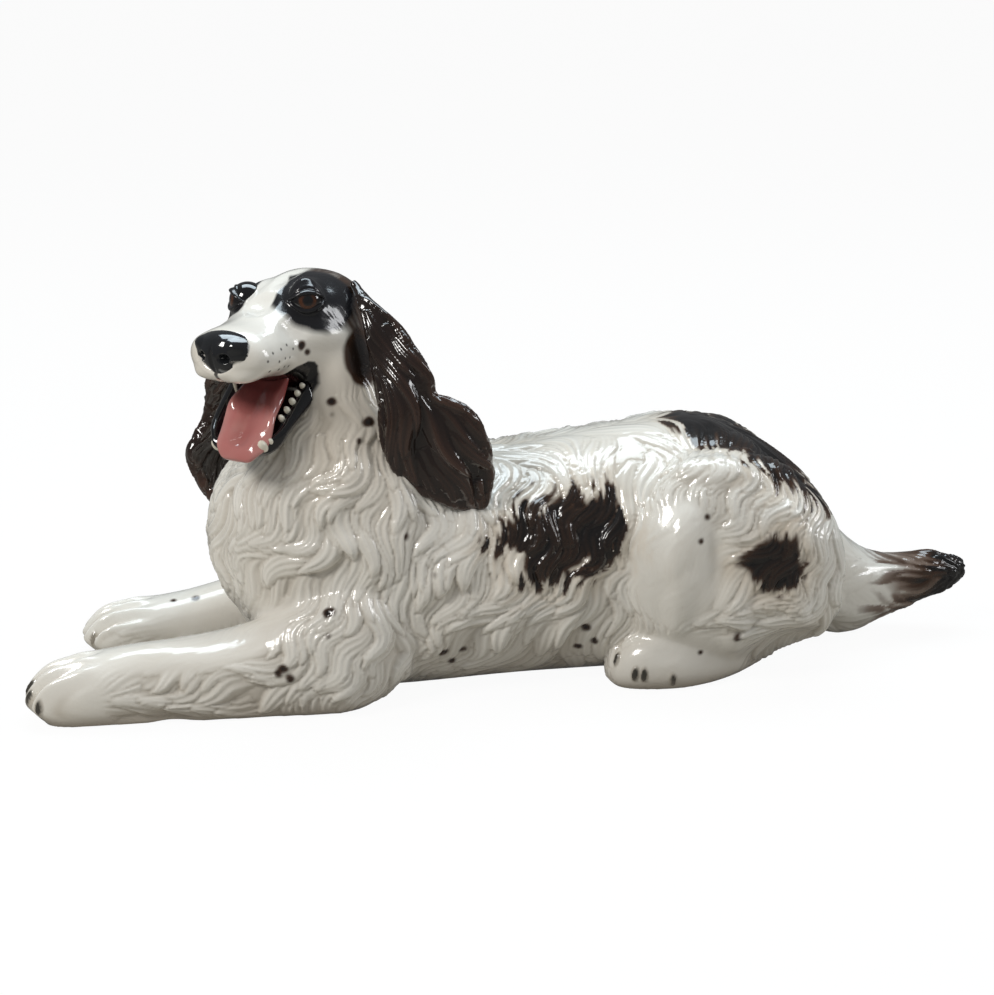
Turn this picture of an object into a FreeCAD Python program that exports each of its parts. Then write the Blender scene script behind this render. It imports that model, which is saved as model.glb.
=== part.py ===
import FreeCAD, Part
import math
import os

# A large glazed earthenware spaniel, lying with its head up and its face turned to its left.
# The dog is slip-cast: the trunk, head, legs, haunches and tail are thin hollow castings, and
# the ears, jaw, tongue, teeth, eyes and nose are pressed from solid clay. They are luted
# together with slip before firing, so every piece ends where it meets the piece that carries it.
# Millimetres. The nose points along -X, the dog's left side faces -Y, and it stands on z = 0.

Vec = FreeCAD.Vector

# Clay
wall = 6.0                  # thickness of the slip-cast walls
base_thickness = 7.0        # floor of the trunk casting
drain_hole_diameter = 24.0  # lets slip out and kiln gases escape
vent_hole_diameter = 9.0    # pierced under each luted hollow casting

# Trunk and neck
trunk_length = 440.0
trunk_width = 160.0
back_height = 168.0

# Head, in its own frame before it is turned
head_length = 132.0
head_width = 86.0
head_height = 86.0
head_yaw = 50.0             # degrees, towards the dog's left
head_pitch = 5.0            # degrees, nose up
eye_diameter = 24.0
nose_width = 42.0
nose_height = 33.0
nose_depth = 30.0

# Mouth
jaw_length = 64.0
jaw_width = 62.0
jaw_thickness = 16.0
tongue_length = 72.0
tongue_width = 38.0
tongue_thickness = 10.0
tooth_diameter = 5.2
gum_diameter = 3.6
upper_tooth_diameter = 4.4
upper_tooth_tip_diameter = 1.1
upper_tooth_length = 17.0

# Ears
ear_length = 164.0
ear_width = 60.0
ear_thickness = 13.0

# Forelegs
left_foreleg_reach = 220.0
left_foreleg_height = 86.0
right_foreleg_reach = 186.0
right_foreleg_height = 68.0
foreleg_width = 58.0
left_foreleg_side = 67.0     # from the middle of the dog to the shoulder's middle
right_foreleg_side = 62.0

# Hindquarters
haunch_length = 152.0
haunch_height = 149.0
haunch_thickness = 42.0
hind_foot_length = 136.0
hind_foot_height = 40.0
hind_foot_width = 46.0

# Tail
tail_length = 146.0
tail_height = 94.0
tail_thickness = 66.0

# Main locks of the coat
lock_length = 62.0
lock_width = 27.0
lock_thickness = 22.0
lock_relief = 4.0           # how far a lock stands out of the casting

# Shape of every lofted ring
ring_points = 16
ring_squareness = 2.3       # 2 is an ellipse, more is squarer
overrun = 400.0             # how far a cutting tool runs past what it cuts


def ring(ventral_x, ventral_z, dorsal_x, dorsal_z, side, half_width, squareness=ring_squareness):
    """A closed curve round the casting, through its lowest and highest points."""
    points = []
    for step in range(ring_points):
        angle = 2 * math.pi * step / ring_points
        across = math.copysign(abs(math.cos(angle)) ** (2 / squareness), math.cos(angle))
        up = math.copysign(abs(math.sin(angle)) ** (2 / squareness), math.sin(angle))
        points.append(Vec(
            (ventral_x + dorsal_x) / 2 + (dorsal_x - ventral_x) / 2 * up,
            side + half_width * across,
            (ventral_z + dorsal_z) / 2 + (dorsal_z - ventral_z) / 2 * up,
        ))
    curve = Part.BSplineCurve()
    curve.interpolate(Points=points, PeriodicFlag=True)
    return Part.Wire(curve.toShape())


def loft(stations, inset=0.0):
    """A solid through the stations' rings, each drawn in by inset on all sides."""
    rings = []
    for ventral_x, ventral_z, dorsal_x, dorsal_z, side, half_width in stations:
        span = math.hypot(dorsal_x - ventral_x, dorsal_z - ventral_z)
        in_x = (dorsal_x - ventral_x) / span * inset
        in_z = (dorsal_z - ventral_z) / span * inset
        rings.append(ring(ventral_x + in_x, ventral_z + in_z, dorsal_x - in_x, dorsal_z - in_z,
                          side, half_width - inset))
    return Part.makeLoft(rings, True, False)


def scaled(shares, length, height, width, start_x=0.0, side=0.0):
    """Stations in millimetres from shares of a casting's length, height and half width."""
    return [
        (start_x + vx * length, vz * height, start_x + dx * length, dz * height,
         side + y * width / 2, w * width / 2)
        for vx, vz, dx, dz, y, w in shares
    ]


def mirrored(stations):
    return [(vx, vz, dx, dz, -y, w) for vx, vz, dx, dz, y, w in stations]


def below(level):
    """Everything under a level, as a cutting block."""
    corner = Vec(-2 * overrun, -2 * overrun, level - overrun)
    return Part.makeBox(4 * overrun, 4 * overrun, overrun, corner)


def cut_all(shape, *tools):
    for tool in tools:
        shape = shape.cut(tool)
    return shape


def ellipsoid(centre, length, width, height):
    ball = Part.makeSphere(1.0)
    matrix = FreeCAD.Matrix()
    matrix.scale(Vec(length / 2, width / 2, height / 2))
    shape = ball.transformGeometry(matrix)
    shape.translate(centre)
    return shape


def locks_on(skin, shares, size, start, hands):
    """A casting with its main locks of hair, laid on it like low leaves.

    Each row of shares is a place outside the casting, as shares of size from start, and the way
    that the lock runs. The lock lies where the casting is nearest to that place. Across the dog
    both count outwards from its middle: hands are -1 for its left side and 1 for its right.
    """
    locks = []
    for hand in hands:
        for (ahead, outward, up), (run_ahead, run_outward, run_up) in shares:
            place = start + Vec(ahead * size.x, hand * outward * size.y, up * size.z)
            run = Vec(run_ahead, hand * run_outward, run_up)
            on_skin = skin.distToShape(Part.Vertex(place))[1][0][0]
            out = (place - on_skin).normalize()
            run = (run - out * run.dot(out)).normalize()
            across = out.cross(run)
            matrix = FreeCAD.Matrix(run.x, across.x, out.x, on_skin.x,
                                    run.y, across.y, out.y, on_skin.y,
                                    run.z, across.z, out.z, on_skin.z,
                                    0, 0, 0, 1)
            lock = ellipsoid(Vec(0, 0, lock_relief - lock_thickness / 2),
                             lock_length, lock_width, lock_thickness)
            lock.Placement = FreeCAD.Placement(matrix).multiply(lock.Placement)
            locks.append(lock)
    return skin.fuse(locks)


# Trunk and neck: one casting. Its rings stand upright at the rump, lean at the shoulder and lie
# nearly flat at the top of the neck, so that the same casting gives the back, chest and throat.
# Shares of trunk_length from the chest, back_height, and half of trunk_width.
trunk_shares = [
    (0.991, 0.22, 0.995, 0.50, 0.00, 0.40),
    (0.982, 0.09, 0.968, 0.66, 0.00, 0.74),
    (0.920, 0.02, 0.898, 0.84, 0.00, 0.90),
    (0.830, -0.03, 0.795, 0.98, 0.00, 0.94),
    (0.705, -0.04, 0.682, 0.98, 0.00, 0.94),
    (0.568, -0.04, 0.568, 0.94, 0.00, 0.94),
    (0.432, -0.04, 0.455, 0.91, 0.00, 0.97),
    (0.300, -0.05, 0.375, 0.93, 0.00, 1.02),
    (0.182, -0.01, 0.330, 1.05, 0.00, 1.04),
    (0.088, 0.16, 0.300, 1.18, -0.02, 0.99),
    (0.030, 0.38, 0.277, 1.30, -0.05, 0.88),
    (0.013, 0.62, 0.261, 1.39, -0.08, 0.76),
    (0.048, 0.87, 0.245, 1.48, -0.11, 0.65),
    (0.090, 1.06, 0.232, 1.55, -0.14, 0.54),
    (0.120, 1.20, 0.222, 1.58, -0.15, 0.40),
]
trunk_stations = scaled(trunk_shares, trunk_length, back_height, trunk_width)
floor_block = below(0.0)

# The trunk's locks, alike on both sides: places from the chest on the ground as shares of
# trunk_length, half of trunk_width and back_height, and the way each runs.
trunk_lock_shares = [
    ((0.235, 1.8, 0.62), (0.15, 0.0, -1.0)),
    ((0.150, 1.8, 0.66), (-0.95, 0.0, -0.25)),
    ((0.290, 1.8, 0.78), (0.0, 0.0, -1.0)),
    ((0.355, 1.8, 0.54), (-0.75, 0.0, -0.6)),
    ((0.400, 1.8, 0.76), (-0.3, 0.0, -0.95)),
    ((0.450, 1.8, 0.46), (-0.70, 0.0, -0.70)),
    ((0.500, 1.8, 0.72), (0.1, 0.0, -1.0)),
    ((0.555, 1.8, 0.46), (-0.6, 0.0, -0.78)),
    ((0.605, 1.8, 0.74), (-0.6, 0.0, -0.75)),
    ((0.360, 1.8, 0.24), (-0.55, 0.0, -0.80)),
    ((0.450, 1.8, 0.20), (-0.50, 0.0, -0.85)),
    ((0.540, 1.8, 0.22), (-0.45, 0.0, -0.88)),
    ((0.170, 1.8, 0.94), (-0.5, 0.0, -0.85)),
    ((0.345, 1.8, 0.98), (0.15, 0.0, -1.0)),
    ((-0.20, 0.45, 0.42), (-0.1, 0.2, -1.0)),
    ((-0.20, 0.40, 0.72), (-0.3, 0.3, -0.9)),
    ((-0.20, 0.45, 1.00), (-0.3, -0.2, -0.9)),
]
trunk_size = Vec(trunk_length, trunk_width / 2, back_height)
trunk_outer = locks_on(loft(trunk_stations), trunk_lock_shares, trunk_size, Vec(), (-1, 1))
trunk_cavity = loft(trunk_stations[1:], wall).cut(below(base_thickness))

# Head: skull and upper muzzle, from the back of the skull at +X to the nose at -X.
# Shares of head_length, head_height, and half of head_width.
head_shares = [
    (0.305, -0.17, 0.305, 0.25, 0.0, 0.45),
    (0.235, -0.37, 0.235, 0.43, 0.0, 0.82),
    (0.060, -0.48, 0.060, 0.52, 0.0, 1.00),
    (-0.106, -0.44, -0.106, 0.50, 0.0, 0.98),
    (-0.227, -0.34, -0.227, 0.43, 0.0, 0.84),
    (-0.330, -0.27, -0.330, 0.33, 0.0, 0.72),
    (-0.440, -0.235, -0.440, 0.235, 0.0, 0.65),
    (-0.550, -0.235, -0.550, 0.19, 0.0, 0.62),
    (-0.645, -0.225, -0.645, 0.16, 0.0, 0.54),
    (-0.705, -0.15, -0.705, 0.08, 0.0, 0.32),
]
head_stations = scaled(head_shares, head_length, head_height, head_width)
head_centre_shares = (0.157, -0.15, 1.40)  # of trunk_length, half of trunk_width and back_height
head_centre = Vec(head_centre_shares[0] * trunk_length,
                  head_centre_shares[1] * trunk_width / 2,
                  head_centre_shares[2] * back_height)
yaw_turn = FreeCAD.Rotation(Vec(0, 0, 1), head_yaw)
pitch_turn = FreeCAD.Rotation(Vec(0, 1, 0), head_pitch)
head_place = FreeCAD.Placement(head_centre, yaw_turn.multiply(pitch_turn))


def on_head(shape):
    """Carries a shape from the head's own frame to where the turned head is."""
    shape = shape.copy()
    shape.Placement = head_place.multiply(shape.Placement)
    return shape


def head_point(length_share, width_share, height_share):
    return Vec(length_share * head_length, width_share * head_width / 2, height_share * head_height)


head_outer = on_head(loft(head_stations))
head_cavity = on_head(loft(head_stations[1:-1], wall))

# Eyes are balls of clay that show through the lids as low domes.
eye_place_shares = (-0.240, 0.56, 0.310)
eye_balls = {}
for name, hand in (("left", -1), ("right", 1)):
    centre = head_point(eye_place_shares[0], hand * eye_place_shares[1], eye_place_shares[2])
    eye_balls[name] = on_head(Part.makeSphere(eye_diameter / 2, centre))

# The nose is a moulded pad on the muzzle's end.
nose_place_shares = (-0.640, 0.0, -0.01)
nose_centre = head_point(*nose_place_shares)
nose_pad_outer = on_head(ellipsoid(nose_centre, nose_depth, nose_width, nose_height))

# The lower jaw hangs wide open and the tongue lies in it. Both run forward and down from the
# hinge: shares of their own length forward, of it down, of their width and of their thickness.
jaw_path_shares = [
    (0.00, 0.00, 1.00, 1.00),
    (0.26, -0.24, 0.97, 0.95),
    (0.50, -0.47, 0.86, 0.85),
    (0.66, -0.63, 0.66, 0.70),
    (0.73, -0.70, 0.34, 0.40),
]
tongue_path_shares = [
    (0.10, 0.16, 0.80, 0.80),
    (0.30, -0.06, 0.92, 1.00),
    (0.50, -0.29, 1.00, 1.00),
    (0.66, -0.49, 0.98, 0.90),
    (0.75, -0.62, 0.84, 0.70),
    (0.79, -0.67, 0.46, 0.40),
]
jaw_hinge_shares = (-0.165, 0.0, -0.26)
jaw_hinge = head_point(*jaw_hinge_shares)


def swept(path_shares, length, width, thickness):
    """A bar along a path that runs forward and down from the jaw's hinge."""
    stations = []
    for step, (forward, down, wide, thick) in enumerate(path_shares):
        before = path_shares[max(step - 1, 0)]
        after = path_shares[min(step + 1, len(path_shares) - 1)]
        run = Vec(before[0] - after[0], 0, after[1] - before[1]).normalize()
        middle = jaw_hinge + Vec(-forward * length, 0, down * length)
        half_depth = Vec(run.z, 0, -run.x) * (thick * thickness / 2)
        low = middle + half_depth
        high = middle - half_depth
        stations.append((low.x, low.z, high.x, high.z, 0.0, wide * width / 2))
    return on_head(loft(stations))


jaw_outer = swept(jaw_path_shares, jaw_length, jaw_width, jaw_thickness)
tongue_outer = swept(tongue_path_shares, tongue_length, tongue_width, tongue_thickness)

# Teeth are beads on a strip of gum down each side of the jaw, with a larger one at the chin.
# Shares of jaw_length forward and down, of half of jaw_width across, and of tooth_diameter.
tooth_row_shares = [
    (0.21, -0.06, 0.80, 1.0),
    (0.30, -0.12, 0.80, 1.0),
    (0.39, -0.19, 0.77, 1.0),
    (0.47, -0.26, 0.74, 1.0),
    (0.54, -0.34, 0.70, 1.0),
    (0.63, -0.52, 0.60, 1.2),
    (0.69, -0.59, 0.50, 1.6),
]


def tooth_row(hand):
    row = None
    last = None
    for forward, down, across, size in tooth_row_shares:
        place = jaw_hinge + Vec(-forward * jaw_length, hand * across * jaw_width / 2, down * jaw_length)
        shape = Part.makeSphere(size * tooth_diameter / 2, place)
        if last is not None:
            step = place - last
            shape = shape.fuse(Part.makeCylinder(gum_diameter / 2, step.Length, last, step))
        row = shape if row is None else row.fuse(shape)
        last = place
    return on_head(row)


# One slim upper tooth shows on the far side, in front of the tongue.
upper_tooth_top_shares = (-0.425, 0.36, -0.20)
upper_tooth_run_shares = (0.28, 0.0, -0.96)
upper_tooth_outer = on_head(Part.makeCone(
    upper_tooth_diameter / 2, upper_tooth_tip_diameter / 2, upper_tooth_length,
    head_point(*upper_tooth_top_shares), Vec(*upper_tooth_run_shares)))

# Forelegs reach forward along the ground, the right one less far. Shares of the reach from the
# shoulder, foreleg_height, and half of foreleg_width.
foreleg_shares = [
    (0.130, 0.16, 0.130, 0.86, 0.30, 0.76),
    (0.040, 0.04, 0.040, 0.98, 0.00, 0.92),
    (-0.120, -0.08, -0.120, 0.94, -0.10, 1.00),
    (-0.250, -0.08, -0.250, 0.82, -0.06, 0.92),
    (-0.410, -0.08, -0.410, 0.69, -0.02, 0.86),
    (-0.570, -0.08, -0.570, 0.58, 0.04, 0.80),
    (-0.727, -0.08, -0.727, 0.52, 0.10, 0.80),
    (-0.841, -0.08, -0.841, 0.48, 0.16, 0.84),
    (-0.932, -0.07, -0.932, 0.38, 0.20, 0.76),
    (-0.984, -0.04, -0.984, 0.27, 0.20, 0.56),
    (-1.000, 0.04, -1.000, 0.18, 0.20, 0.30),
]
shoulder_share = 0.227  # of trunk_length, from the chest
shoulder_x = shoulder_share * trunk_length
foreleg_stations = {
    "left": scaled(foreleg_shares, left_foreleg_reach, left_foreleg_height, foreleg_width,
                   shoulder_x, -left_foreleg_side),
    "right": mirrored(scaled(foreleg_shares, right_foreleg_reach, right_foreleg_height, foreleg_width,
                             shoulder_x, -right_foreleg_side)),
}

# Haunches bulge out of the trunk. Shares of haunch_length from the knee, haunch_height, and
# haunch_thickness twice over.
haunch_shares = [
    (1.000, 0.30, 1.000, 0.60, 0.10, 0.42),
    (0.900, 0.16, 0.900, 0.82, -0.02, 0.76),
    (0.700, 0.08, 0.700, 0.99, -0.04, 0.95),
    (0.450, 0.06, 0.450, 1.06, -0.04, 1.00),
    (0.220, 0.10, 0.220, 1.01, -0.02, 0.95),
    (0.070, 0.20, 0.070, 0.87, 0.00, 0.76),
    (0.000, 0.36, 0.000, 0.68, 0.04, 0.42),
]
knee_share = 0.627         # of trunk_length, from the chest
haunch_side_share = 0.70   # of half of trunk_width
haunch_left_stations = scaled(haunch_shares, haunch_length, haunch_height, 2 * haunch_thickness,
                              knee_share * trunk_length, -haunch_side_share * trunk_width / 2)

# The haunch's locks: places from under the knee as shares of haunch_length, haunch_thickness
# and haunch_height, and the way each runs.
haunch_lock_shares = [
    ((0.10, 2.0, 0.74), (-0.25, 0.0, -0.97)),
    ((0.12, 2.0, 0.42), (-0.10, 0.0, -0.99)),
    ((0.36, 1.2, 1.25), (0.99, 0.1, -0.1)),
    ((0.80, 2.0, 0.78), (0.45, 0.0, -0.88)),
    ((0.74, 2.0, 0.42), (0.40, 0.0, -0.90)),
    ((0.44, 2.0, 0.30), (0.10, 0.0, -1.00)),
]

# Hind feet lie flat under the haunches, toes forward.
hind_foot_shares = [
    (1.000, 0.38, 1.000, 0.80, 1.30, 0.50),
    (0.800, 0.08, 0.800, 0.86, 0.92, 0.84),
    (0.560, -0.08, 0.560, 0.90, 0.42, 0.98),
    (0.300, -0.12, 0.300, 0.98, 0.08, 1.00),
    (0.110, -0.08, 0.110, 0.84, 0.10, 0.82),
    (0.025, 0.02, 0.025, 0.54, 0.16, 0.52),
    (0.000, 0.16, 0.000, 0.34, 0.20, 0.26),
]
toe_share = 0.600          # of trunk_length, from the chest
hind_foot_side_share = 0.88
hind_foot_left_stations = scaled(hind_foot_shares, hind_foot_length, hind_foot_height, hind_foot_width,
                                 toe_share * trunk_length, -hind_foot_side_share * trunk_width / 2)

# Tail: a thick feathered flag that lies back from the rump and rises to its tip.
tail_shares = [
    (0.000, 0.30, 0.000, 1.10, 0.0, 0.96),
    (0.160, 0.12, 0.160, 1.06, 0.0, 1.00),
    (0.300, 0.03, 0.300, 0.90, 0.0, 0.96),
    (0.420, 0.04, 0.420, 0.72, 0.0, 0.84),
    (0.540, 0.12, 0.540, 0.63, 0.0, 0.70),
    (0.680, 0.19, 0.680, 0.61, 0.0, 0.54),
    (0.820, 0.26, 0.820, 0.61, 0.0, 0.40),
    (0.930, 0.34, 0.930, 0.57, 0.0, 0.26),
    (1.000, 0.43, 1.000, 0.51, 0.0, 0.10),
]
tail_root_share = 0.905    # of trunk_length, from the chest
tail_stations = scaled(tail_shares, tail_length, tail_height, tail_thickness,
                       tail_root_share * trunk_length)

# Ears are long leaves. The right one is drawn flat, length along +X and its rear edge at +Z, the
# left one mirrored, and each is hung from the skull. Shares of ear_length, ear_width and
# ear_thickness.
ear_shares = [
    (-0.08, -0.06, -0.08, 0.08, 0.0, 0.60),
    (0.00, -0.12, 0.00, 0.15, 0.5, 0.80),
    (0.10, -0.16, 0.10, 0.23, 1.4, 0.95),
    (0.24, -0.26, 0.24, 0.31, 2.4, 1.00),
    (0.42, -0.42, 0.42, 0.29, 3.0, 1.00),
    (0.58, -0.54, 0.58, 0.37, 2.9, 1.05),
    (0.74, -0.53, 0.74, 0.42, 2.2, 1.10),
    (0.87, -0.38, 0.87, 0.30, 1.2, 0.95),
    (0.96, -0.20, 0.96, 0.13, 0.3, 0.60),
    (1.00, -0.08, 1.00, 0.02, 0.0, 0.30),
]


def hang_ear(stations, root_shares, run_shares, facing_shares):
    """Places a flat ear: its root on the skull, its length along run, its outside facing out."""
    root = head_place.multVec(head_point(*root_shares))
    run = Vec(*run_shares).normalize()
    out = Vec(*facing_shares)
    out = (out - run * out.dot(run)).normalize()
    across = run.cross(out)
    matrix = FreeCAD.Matrix(run.x, out.x, across.x, root.x,
                            run.y, out.y, across.y, root.y,
                            run.z, out.z, across.z, root.z,
                            0, 0, 0, 1)
    shape = loft(stations)
    shape.Placement = FreeCAD.Placement(matrix)
    return shape


right_ear_stations = scaled(ear_shares, ear_length, ear_width, ear_thickness)
left_ear_stations = [(vx, -dz, dx, -vz, y, w) for vx, vz, dx, dz, y, w in right_ear_stations]
left_root_shares = (0.01, -0.82, 0.37)    # of half the head, as every place on it
left_run_shares = (0.50, -0.21, -0.84)
left_facing_shares = (-0.20, -1.00, 0.15)
right_root_shares = (0.12, 0.82, 0.30)
right_run_shares = (-0.24, 0.17, -0.96)
right_facing_shares = (-0.35, 0.94, 0.05)
ear_outer = {
    "left": hang_ear(left_ear_stations, left_root_shares, left_run_shares, left_facing_shares),
    "right": hang_ear(right_ear_stations, right_root_shares, right_run_shares, right_facing_shares),
}

# Each piece ends on the piece that carries it. The base, legs, feet and tail stand on z = 0.
sides = {"left": -1, "right": 1}
haunch_stations = {"left": haunch_left_stations, "right": mirrored(haunch_left_stations)}
hind_foot_stations = {"left": hind_foot_left_stations, "right": mirrored(hind_foot_left_stations)}
haunch_size = Vec(haunch_length, haunch_thickness, haunch_height)
haunch_outer = {}
for side, hand in sides.items():
    haunch_start = Vec(knee_share * trunk_length, hand * haunch_side_share * trunk_width / 2, 0)
    haunch_outer[side] = locks_on(loft(haunch_stations[side]), haunch_lock_shares, haunch_size,
                                  haunch_start, (hand,))

# The base has a drain hole, and a vent under each luted casting lets its air out in the kiln.
drain_share = 0.45         # of trunk_length, from the chest
drain_hole = Part.makeCylinder(drain_hole_diameter / 2, 2 * base_thickness,
                               Vec(drain_share * trunk_length, 0, -base_thickness / 2))
side_vent_shares = [(0.22, 0.24), (0.80, 0.45)]   # of trunk_length and back_height
tail_vent_share = 0.36
vents = [
    Part.makeCylinder(vent_hole_diameter / 2, 2 * trunk_width,
                      Vec(x * trunk_length, -trunk_width, z * back_height), Vec(0, 1, 0))
    for x, z in side_vent_shares
]
vents.append(Part.makeCylinder(vent_hole_diameter / 2, trunk_width,
                               Vec(trunk_length - trunk_width / 2, 0, tail_vent_share * back_height),
                               Vec(1, 0, 0)))

pieces = {}
pieces["body_shell"] = cut_all(trunk_outer, floor_block, trunk_cavity, drain_hole, *vents)
pieces["head_shell"] = cut_all(head_outer, trunk_outer, head_cavity)
pieces["lower_jaw"] = cut_all(jaw_outer, head_outer, trunk_outer)
pieces["tongue"] = cut_all(tongue_outer, head_outer, jaw_outer)
pieces["upper_tooth"] = cut_all(upper_tooth_outer, head_outer, tongue_outer)
pieces["nose_pad"] = nose_pad_outer.cut(head_outer)
pieces["tail"] = cut_all(loft(tail_stations), floor_block, trunk_outer,
                         loft(tail_stations[:-2], wall).cut(below(wall)))
for side, hand in sides.items():
    pieces["eye_" + side] = eye_balls[side].cut(head_outer)
    pieces["teeth_" + side] = cut_all(tooth_row(hand), head_outer, jaw_outer, tongue_outer, trunk_outer)
    pieces["ear_" + side] = cut_all(ear_outer[side], head_outer, trunk_outer)
    pieces["foreleg_" + side] = cut_all(loft(foreleg_stations[side]), floor_block, trunk_outer,
                                        loft(foreleg_stations[side][1:-1], wall).cut(below(wall)))
    pieces["haunch_" + side] = cut_all(haunch_outer[side], trunk_outer,
                                       loft(haunch_stations[side][1:-1], wall))
    pieces["hind_foot_" + side] = cut_all(loft(hind_foot_stations[side]), floor_block, trunk_outer,
                                          haunch_outer[side],
                                          loft(hind_foot_stations[side][1:-1], wall).cut(below(wall)))

# The origin is the middle of the whole dog's length, between the paws' front and the tail's end.
front_end = shoulder_x - left_foreleg_reach
tail_end = tail_root_share * trunk_length + tail_length
to_origin = Vec(-(front_end + tail_end) / 2, 0, 0)

os.makedirs("parts", exist_ok=True)
for name, shape in pieces.items():
    shape.translate(to_origin)
    shape.exportStep(os.path.join("parts", name + ".step"))
    print(name, shape.isValid(), len(shape.Solids), [round(s.Volume / 1000, 2) for s in shape.Solids])
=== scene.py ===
import bpy
import bmesh
import math
import numpy as np
from mathutils import Matrix, Vector
from mathutils.bvhtree import BVHTree
from mathutils.kdtree import KDTree


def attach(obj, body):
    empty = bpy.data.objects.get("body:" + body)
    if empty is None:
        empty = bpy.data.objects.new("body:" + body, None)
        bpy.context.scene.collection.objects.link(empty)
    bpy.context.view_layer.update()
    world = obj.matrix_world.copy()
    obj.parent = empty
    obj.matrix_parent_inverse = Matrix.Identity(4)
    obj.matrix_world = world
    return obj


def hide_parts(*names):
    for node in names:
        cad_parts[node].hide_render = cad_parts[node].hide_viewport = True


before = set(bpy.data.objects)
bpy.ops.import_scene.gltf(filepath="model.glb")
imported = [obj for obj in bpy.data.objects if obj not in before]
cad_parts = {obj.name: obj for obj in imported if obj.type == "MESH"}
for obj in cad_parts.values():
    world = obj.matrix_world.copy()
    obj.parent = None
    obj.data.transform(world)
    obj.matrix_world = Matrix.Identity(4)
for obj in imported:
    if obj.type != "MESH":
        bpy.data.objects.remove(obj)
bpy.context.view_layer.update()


# The view. The dog lies on a pale table and is seen from a little above, a touch towards its
# head, from far enough off that the tail isn't drawn small.
mm = 0.001
view_azimuth = -10.0
view_elevation = 17.0
view_distance = 1.4
view_target = Vector((-0.01205, 0.0, 0.115))
view_pixels = 995
view_focal_pixels = 2036.0

camera_data = bpy.data.cameras.new("camera")
camera_data.sensor_width = 36.0
camera_data.lens = view_focal_pixels / view_pixels * camera_data.sensor_width
camera_data.clip_end = 60.0
camera = bpy.data.objects.new("camera", camera_data)
camera.rotation_euler = (math.radians(90 - view_elevation), 0, math.radians(view_azimuth))
look = camera.rotation_euler.to_matrix() @ Vector((0, 0, -1))
camera.location = view_target - look * view_distance
bpy.context.collection.objects.link(camera)
scene = bpy.context.scene
scene.camera = camera
scene.view_settings.view_transform = "Standard"


# The shaders are written as sums and products of sockets.
class Glaze:
    """One socket of a shader, on which Python's operators work."""

    def __init__(self, tree, socket=None):
        self.tree = tree
        self.socket = socket

    def node(self, kind, settings=None, sockets=None, output=0):
        """Adds a node: its settings first, then its sockets' values or links."""
        made = self.tree.nodes.new(kind)
        for key, value in (settings or {}).items():
            setattr(made, key, value)
        for key, value in (sockets or {}).items():
            if isinstance(value, Glaze):
                self.tree.links.new(value.socket, made.inputs[key])
            elif isinstance(value, tuple) and len(value) == 3 and made.inputs[key].type == "RGBA":
                made.inputs[key].default_value = (*value, 1.0)
            else:
                made.inputs[key].default_value = value
        return Glaze(self.tree, made.outputs[output] if made.outputs else None)

    def other(self, name):
        """Another output of the same node."""
        return Glaze(self.tree, self.socket.node.outputs[name])

    def maths(self, operation, *values):
        return self.node("ShaderNodeMath", {"operation": operation}, dict(enumerate(values)))

    def __add__(self, other):
        return self.maths("ADD", self, other)

    def __radd__(self, other):
        return self.maths("ADD", other, self)

    def __rsub__(self, other):
        return self.maths("SUBTRACT", other, self)

    def __mul__(self, other):
        return self.maths("MULTIPLY", self, other)

    def __rmul__(self, other):
        return self.maths("MULTIPLY", other, self)


def new_material(name):
    material = bpy.data.materials.new(name)
    material.use_nodes = True
    material.node_tree.nodes.clear()
    return material, Glaze(material.node_tree)


def close_material(start, surface):
    start.node("ShaderNodeOutputMaterial", None, {"Surface": surface})


# The table top is matt white and runs far behind the dog. The camera sees it almost white, and
# the dog's shadow stays on it.
floor_reach = 30.0
floor_white = (0.90, 0.90, 0.89)
floor_glow = 0.95
floor_in_glaze = 0.10         # how bright the table looks in the glaze
floor_dusk_share = 0.75       # how much of its reflection is that dim one
floor_bounce = (0.42, 0.39, 0.34)
table_gap = 0.0004
pure_white = (1.0, 1.0, 1.0)


def as_mesh(shape, name):
    """A finished bmesh as a mesh."""
    mesh = bpy.data.meshes.new(name)
    shape.to_mesh(mesh)
    shape.free()
    return mesh


sheet = bmesh.new()
bmesh.ops.create_grid(sheet, x_segments=1, y_segments=1, size=floor_reach)
table_top = bpy.data.objects.new("table_top", as_mesh(sheet, "table_top"))
table_top.location.z = -table_gap
bpy.context.collection.objects.link(table_top)
table_white, start = new_material("table_white")
seen = start.node("ShaderNodeLightPath")
paper = start.node("ShaderNodeBsdfDiffuse", None, {"Color": floor_white})
glow = start.node("ShaderNodeEmission", None, {"Color": pure_white, "Strength": 1.0})
dusk = start.node("ShaderNodeEmission", None, {"Color": pure_white, "Strength": floor_in_glaze})
shaded = start.node("ShaderNodeBsdfDiffuse", None, {"Color": floor_bounce})
lit = start.node("ShaderNodeMixShader", None, {0: floor_glow, 1: paper, 2: glow})
lit = start.node("ShaderNodeMixShader", None, {0: seen.other("Is Camera Ray"), 1: shaded, 2: lit})
dimmed = seen.other("Is Glossy Ray") * floor_dusk_share
close_material(start, start.node("ShaderNodeMixShader", None, {0: dimmed, 1: lit, 2: dusk}))
table_top.data.materials.append(table_white)

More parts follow.
